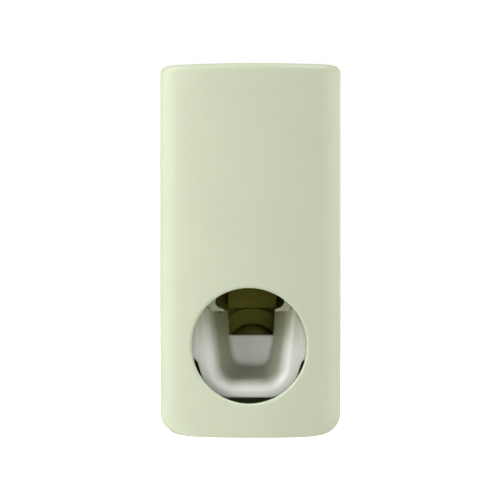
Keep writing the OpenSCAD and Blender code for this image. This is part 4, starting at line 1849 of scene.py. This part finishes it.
@dataclass
class Spout:
    """The spout that brings the paste forward over the brush, with its slit cap and seal.

    Attributes:
        up: The height of the level run's axis.
        mouth_in: The depth of the hanging run's axis.
        tower_in: The depth of the housing's face that the flange lies on.
        flat: The height of the flat on top of the flange.
        spigot: How far the spigot reaches into the housing.
        tip_low: The height of the cap's underside.
        tip_floor: How thick the cap is under the spout's end.
        tip_room: How much wider the cap is inside than the spout.
        slit: The slit's length and width.
        fillet: The fillet at the flange, and half the one inside the bend.
        past: How far the spigot runs on into the flange.
        edge: The radius at the spout's end and at the flange's flat.
        flange_edge: The radius round the flange and the spigot.
        mouth_edge: The radius round the bore's mouths.
    """

    up: float = 28.5
    mouth_in: float = 17.0
    tower_in: float = 36.0
    radius: float = 3.0
    bore: float = 1.8
    flange_radius: float = 5.0
    flange: float = 2.0
    flat: float = 32.3
    spigot_radius: float = 2.6
    spigot: float = 4.0
    tip_low: float = 22.6
    tip_floor: float = 1.2
    tip_radius: float = 4.0
    tip_height: float = 2.3
    tip_room: float = 0.03
    tip_edge: float = 0.5
    tip_inner_edge: float = 0.1
    slit: Flat = (4.0, 0.3)
    slit_edge: float = 0.05
    fillet: float = 1.0
    past: float = 1.0
    edge: float = 0.2
    flange_edge: float = 0.3
    mouth_edge: float = 0.15

    def pipe(self, at: Spot, radius: float) -> tuple[np.ndarray, np.ndarray]:
        """Gives the distances to the two runs of a pipe.

        Args:
            at: The places.
            radius: The pipe's radius.

        Returns:
            The distance to the level run and to the hanging run.
        """
        ahead = np.minimum(at.depth - self.mouth_in, 0)
        over = np.maximum(at.up - self.up, 0)
        level = np.sqrt(at.x**2 + (at.up - self.up) ** 2 + ahead**2) - radius
        hanging = np.sqrt(at.x**2 + (at.depth - self.mouth_in) ** 2 + over**2) - radius
        return level, hanging

    def form(self, at: Spot) -> np.ndarray:
        """Gives the distance to the spout.

        Args:
            at: The places.

        Returns:
            The distances, negative inside.
        """
        level, hanging = self.pipe(at, self.radius)
        level = np.maximum(level, at.depth - self.tower_in)
        hanging = cut_round(hanging, self.tip_low + self.tip_floor - at.up, self.edge)
        radial = np.hypot(at.x, at.up - self.up)
        flange = cut_round(radial - self.flange_radius, at.up - self.flat, self.edge)
        layer = slab(at.depth, self.tower_in - self.flange, self.tower_in)
        flange = cut_round(flange, layer, self.flange_edge)
        end = at.depth - self.tower_in - self.spigot
        spigot = cut_round(radial - self.spigot_radius, end, self.flange_edge)
        spigot = np.maximum(spigot, self.tower_in - self.past - at.depth)
        inside_bend = np.minimum(at.depth - self.mouth_in, self.up - at.up) / self.radius
        inside_bend = np.clip(inside_bend, 0, 1)
        solid = join_round(level, hanging, self.fillet * 2 * inside_bend)
        solid = join_round(solid, flange, self.fillet)
        solid = np.minimum(solid, spigot)
        return cut_round(solid, -np.minimum(*self.pipe(at, self.bore)), self.mouth_edge)

    def cap(self, at: Spot) -> np.ndarray:
        """Gives the distance to the slit cap.

        Args:
            at: The places.

        Returns:
            The distances, negative inside.
        """
        radial = np.hypot(at.x, at.depth - self.mouth_in)
        layer = slab(at.up, self.tip_low, self.tip_low + self.tip_height)
        body = cut_round(radial - self.tip_radius, layer, self.tip_edge)
        inside = radial - self.radius - self.tip_room
        inside = np.maximum(inside, self.tip_low + self.tip_floor - at.up)
        body = cut_round(body, -inside, self.tip_inner_edge)
        long, wide = self.slit
        slit = np.maximum(np.abs(at.x) - long / 2, np.abs(at.depth - self.mouth_in) - wide / 2)
        return cut_round(body, -slit, self.slit_edge)

    def dress(self) -> None:
        """Builds the spout's pieces and ties them to their body."""
        low = (-self.flange_radius, self.mouth_in - self.radius, self.tip_low + self.tip_floor)
        high = (self.flange_radius, self.tower_in + self.spigot, self.flat)
        spout = Moulding("spout", self.form, low, high, step=0.25).make()
        settle(spout, Body.CHASSIS, Finish.white_plastic, "outlet_nozzle")
        reach = self.tip_radius
        low = (-reach, self.mouth_in - reach, self.tip_low)
        high = (reach, self.mouth_in + reach, self.tip_low + self.tip_height)
        cap = Moulding("spout_cap", self.cap, low, high, step=0.12).make()
        settle(cap, Body.CHASSIS, Finish.clear_silicone, "nozzle_tip")
        keep("nozzle_seal", Finish.olive_silicone, edge=0)


@dataclass
class Pivot:
    """The pin that the lever swings on, and the spring clip on its end.

    Attributes:
        start: The x of the pin's domed end.
        end: The x of its chamfered end.
        head: The length of the head.
        dome: The radius of points on the dome, each with its distance from the end.
        groove_start: The x where the clip's groove starts.
    """

    depth: float = 20.0
    up: float = 33.5
    radius: float = 1.25
    head_radius: float = 2.25
    start: float = -28.0
    head: float = 1.0
    dome: tuple[Flat, ...] = ((1.4, 0.05), (1.9, 0.2), (2.15, 0.45), (2.25, 0.75))
    groove_start: float = 27.0
    groove: float = 0.6
    groove_radius: float = 0.9
    end: float = 28.6
    chamfer: float = 0.3

    def pin(self) -> Piece:
        """Builds the pin with its domed head, its groove and its chamfered end.

        Returns:
            The pin.
        """
        under = self.start + self.head
        back = self.groove_start + self.groove
        shape = [(0.0, self.start)]
        shape += [(radius, self.start + along) for radius, along in self.dome]
        shape += [(self.head_radius, under), (self.radius, under)]
        shape += [(self.radius, self.groove_start), (self.groove_radius, self.groove_start)]
        shape += [(self.groove_radius, back), (self.radius, back)]
        shape += [(self.radius, self.end - self.chamfer), (self.radius - self.chamfer, self.end)]
        shape += [(0.0, self.end)]
        return turned("lever_pin", shape, WINDOW.at(0.0, self.depth, self.up), Axis.RIGHT, steps=48)

    def dress(self) -> None:
        """Builds the pin and ties it to its body."""
        settle(self.pin(), Body.CHASSIS, Finish.pin_steel, "pivot_pin")
        keep("pin_clip", Finish.pin_steel, edge=0.08)


# Back and wall


@dataclass
class Back:
    """The back plate with its bumpers, and the bracket that stays on the wall.

    Attributes:
        bumper_edge: The radius round a bumper's top.
        dimple: The radii of the dimple's rim and of its floor, as shares of the bumper's.
        dimple_deep: How deep the dimple is at its floor's edge and in its middle.
    """

    bumper_radius: float = 3.5
    bumper_edge: float = 0.9
    dimple: Flat = (0.45, 0.35)
    dimple_deep: Flat = (0.25, 0.3)

    def bumpers(self) -> list[Piece]:
        """Builds the two domed bumpers that keep the foot off the wall.

        Returns:
            The bumpers.
        """
        low, high = corners("wall_bumpers")
        height, edge, radius = high[1] - low[1], self.bumper_edge, self.bumper_radius
        rim, floor = (radius * share for share in self.dimple)
        side, middle = (height - deep for deep in self.dimple_deep)
        shape = [(0.0, 0.0), (radius, 0.0)]
        shape += arc((radius - edge, height - edge), edge, 0, 90, steps=8)
        shape += [(rim, height), (floor, side), (0.0, middle)]
        places = {"bumper_left": low[0] + radius, "bumper_right": high[0] - radius}
        level = (low[2] + high[2]) / 2
        return [turned(name, shape, (x, low[1], level), Axis.BACK, steps=64) for name, x in places.items()]

    def dress(self) -> None:
        """Dresses the back's pieces and ties the bumpers to their body."""
        keep("back_plate", Finish.sage_inner, edge=0.35, segments=3)
        keep("wall_bracket", Finish.white_bracket, edge=0.35, segments=3)
        keep("adhesive_pad", Finish.foam_tape, edge=0.1)
        for bumper in self.bumpers():
            settle(bumper, Body.CHASSIS, Finish.clear_silicone, "wall_bumpers")


# Studio


def look(thing: Piece, aim: Vector) -> None:
    """Turns an object to look at a point, with its top up."""
    direction = aim - thing.location
    thing.rotation_euler = direction.to_track_quat("-Z", "Y").to_euler()


KEY_SIZE = (0.36, 0.5)
STRIP_SIZE = (0.3, 0.5)
FRONT_SIZE = (0.6, 0.5)


@dataclass(frozen=True)
class Softbox:
    """A soft lamp that looks at the object.

    Attributes:
        name: The lamp's name.
        azimuth: Its direction from the object, in degrees from the front round to the right.
        elevation: How high it stands, in degrees.
        glow: How bright its face is, where 1 is white.
        size: Its width and height, in metres.
        distance: How far it stands off, in metres.
    """

    name: str
    azimuth: float
    elevation: float
    glow: float
    size: Flat = STRIP_SIZE
    distance: float = 1.3

    def build(self, aim: Vector) -> None:
        """Sets the lamp up.

        Args:
            aim: The point that it looks at.
        """
        data = bpy.data.lights.new(self.name, "AREA")
        data.shape = "RECTANGLE"
        data.size, data.size_y = self.size
        data.energy = self.glow * math.pi * self.size[0] * self.size[1]
        lamp = bpy.data.objects.new(self.name, data)
        bpy.context.scene.collection.objects.link(lamp)
        turn, rise = math.radians(self.azimuth), math.radians(self.elevation)
        level = math.cos(rise)
        direction = Vector((math.sin(turn) * level, -math.cos(turn) * level, math.sin(rise)))
        lamp.location = aim + direction * self.distance
        look(lamp, aim)


@dataclass
class Studio:
    """The camera, the lamps, the pale floor and the white room round the object.

    Attributes:
        distance: How far the camera stands from the cover's front, in metres.
        focal_pixels: The camera's focal length, in pixels of the photograph.
        frame_pixels: The photograph's width and height.
        axis_pixel: The pixel that the camera's axis meets.
        turn: How far the camera is turned to the right round the object, in degrees.
        turn_depth: The depth behind the front that it is turned about, in metres.
        near: The distance at which the camera starts to see, in metres.
        room_light: How bright the room lights the object, where 1 is white.
        floor_below: How far the floor lies under the cover, in metres.
        floor_half: Half the floor's width, in millimetres.
        floor_shades: How pale the floor's darker and lighter patches are.
        floor_lift: How bright the floor glows under the object when it is seen, where 1 is white.
        floor_fade: The distances from the object between which that glow grows to white, in metres.
    """

    distance: float = 0.6
    focal_pixels: float = 1540.0
    frame_pixels: float = 500.0
    axis_pixel: Flat = (251.55, 250.2)
    turn: float = 2.2
    turn_depth: float = 0.028
    sensor: float = 36.0
    near: float = 0.01
    room_light: float = 0.02
    floor_below: float = 0.06
    floor_half: float = 3000.0
    floor_shades: Flat = (0.9, 0.94)
    floor_roughness: float = 0.9
    floor_patches: float = 12.0
    floor_lift: float = 0.5
    floor_fade: Flat = (0.2, 0.8)

    def camera(self) -> None:
        """Sets the camera up at the photograph's place."""
        data = bpy.data.cameras.new("camera")
        data.sensor_width = self.sensor
        data.lens = self.focal_pixels * self.sensor / self.frame_pixels
        data.shift_x = (self.frame_pixels / 2 - self.axis_pixel[0]) / self.frame_pixels
        data.shift_y = (self.axis_pixel[1] - self.frame_pixels / 2) / self.frame_pixels
        data.clip_start = self.near
        camera = bpy.data.objects.new("camera", data)
        bpy.context.scene.collection.objects.link(camera)
        middle = (COVER_LOW[2] + COVER_HIGH[2]) / 2 * MM
        pivot_y = COVER_LOW[1] * MM + self.turn_depth
        reach = self.distance + self.turn_depth
        turn = math.radians(self.turn)
        camera.location = (reach * math.sin(turn), pivot_y - reach * math.cos(turn), middle)
        look(camera, Vector((0, pivot_y, middle)))
        bpy.context.scene.camera = camera

    def room(self) -> None:
        """Makes the world white where it is seen, and softer where it lights."""
        world = bpy.data.worlds.new("room")
        bpy.context.scene.world = world
        world.use_nodes = True
        nodes, links = world.node_tree.nodes, world.node_tree.links
        nodes.clear()
        output = nodes.new("ShaderNodeOutputWorld")
        mix = nodes.new("ShaderNodeMixShader")
        seen, light = nodes.new("ShaderNodeBackground"), nodes.new("ShaderNodeBackground")
        seen.inputs["Color"].default_value = (1, 1, 1, 1)
        light.inputs["Color"].default_value = (1, 1, 1, 1)
        light.inputs["Strength"].default_value = self.room_light
        links.new(nodes.new("ShaderNodeLightPath").outputs["Is Camera Ray"], mix.inputs["Fac"])
        links.new(light.outputs[0], mix.inputs[1])
        links.new(seen.outputs[0], mix.inputs[2])
        links.new(mix.outputs[0], output.inputs["Surface"])

    def pale_floor(self) -> bpy.types.Material:
        """Makes the floor's material, whose glow is only seen and lights nothing.

        Returns:
            The material.
        """
        shader = Shader("pale_floor")
        main = shader.main
        main.inputs["Roughness"].default_value = self.floor_roughness
        dark, light = ((pale, pale, pale, 1) for pale in self.floor_shades)
        shader.paint(shader.tint(shader.noise(self.floor_patches), dark, light))
        main.inputs["Emission Color"].default_value = (1, 1, 1, 1)
        away = shader.nodes.new("ShaderNodeVectorMath")
        away.operation = "LENGTH"
        shader.join(shader.place, away.inputs[0])
        glow = shader.spread(away.outputs["Value"], self.floor_fade, (self.floor_lift, 1.0))
        seen = shader.nodes.new("ShaderNodeLightPath").outputs["Is Camera Ray"]
        shader.join(shader.product(seen, glow), main.inputs["Emission Strength"])
        return shader.material

    def floor(self) -> None:
        """Lays a pale floor under the object, which keeps its shadow."""
        draft = Draft()
        level = COVER_LOW[2] - self.floor_below / MM
        places = (-self.floor_half, 0.0, self.floor_half)
        rows = [draft.add([(x, y, level) for x in places]) for y in places]
        for first, second in zip(rows, rows[1:]):
            draft.bridge(first, second, closed=False)
        floor = draft.make("floor")
        floor.data.materials.append(self.pale_floor())

    def lamps(self) -> None:
        """Sets up the softboxes: two keys from above, and softer ones all round."""
        middle = Vector((0.0, COVER_LOW[1] * MM, (COVER_LOW[2] + COVER_HIGH[2]) / 2 * MM))
        for lamp in (
            Softbox("left_key", azimuth=-78, elevation=32, glow=17.5, size=KEY_SIZE),
            Softbox("right_key", azimuth=72, elevation=58, glow=17.5, size=KEY_SIZE),
            Softbox("left_top", azimuth=-70, elevation=58, glow=3.2),
            Softbox("left_side", azimuth=-62, elevation=8, glow=6.2),
            Softbox("left_near", azimuth=-48, elevation=8, glow=3.2),
            Softbox("left_rear", azimuth=-115, elevation=8, glow=3.1),
            Softbox("right_side", azimuth=78, elevation=8, glow=4.6),
            Softbox("right_rear", azimuth=115, elevation=8, glow=3.6),
            Softbox("right_back", azimuth=152, elevation=8, glow=3.4),
            Softbox("front", azimuth=12, elevation=8, glow=3.1, size=FRONT_SIZE),
        ):
            lamp.build(middle)

    def build(self) -> None:
        """Sets the whole studio up."""
        self.camera()
        self.room()
        self.floor()
        self.lamps()
        bpy.context.scene.view_settings.view_transform = "Standard"


def main() -> None:
    """Builds the dispenser and the studio."""
    logging.basicConfig(level=logging.INFO, format="%(message)s")
    Studio().build()
    for assembly in (FrontCover(), BrushCup(), Pump(), TubeSeat(), Spout(), Pivot(), Back()):
        assembly.dress()
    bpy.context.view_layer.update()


if __name__ == "__main__":
    main()
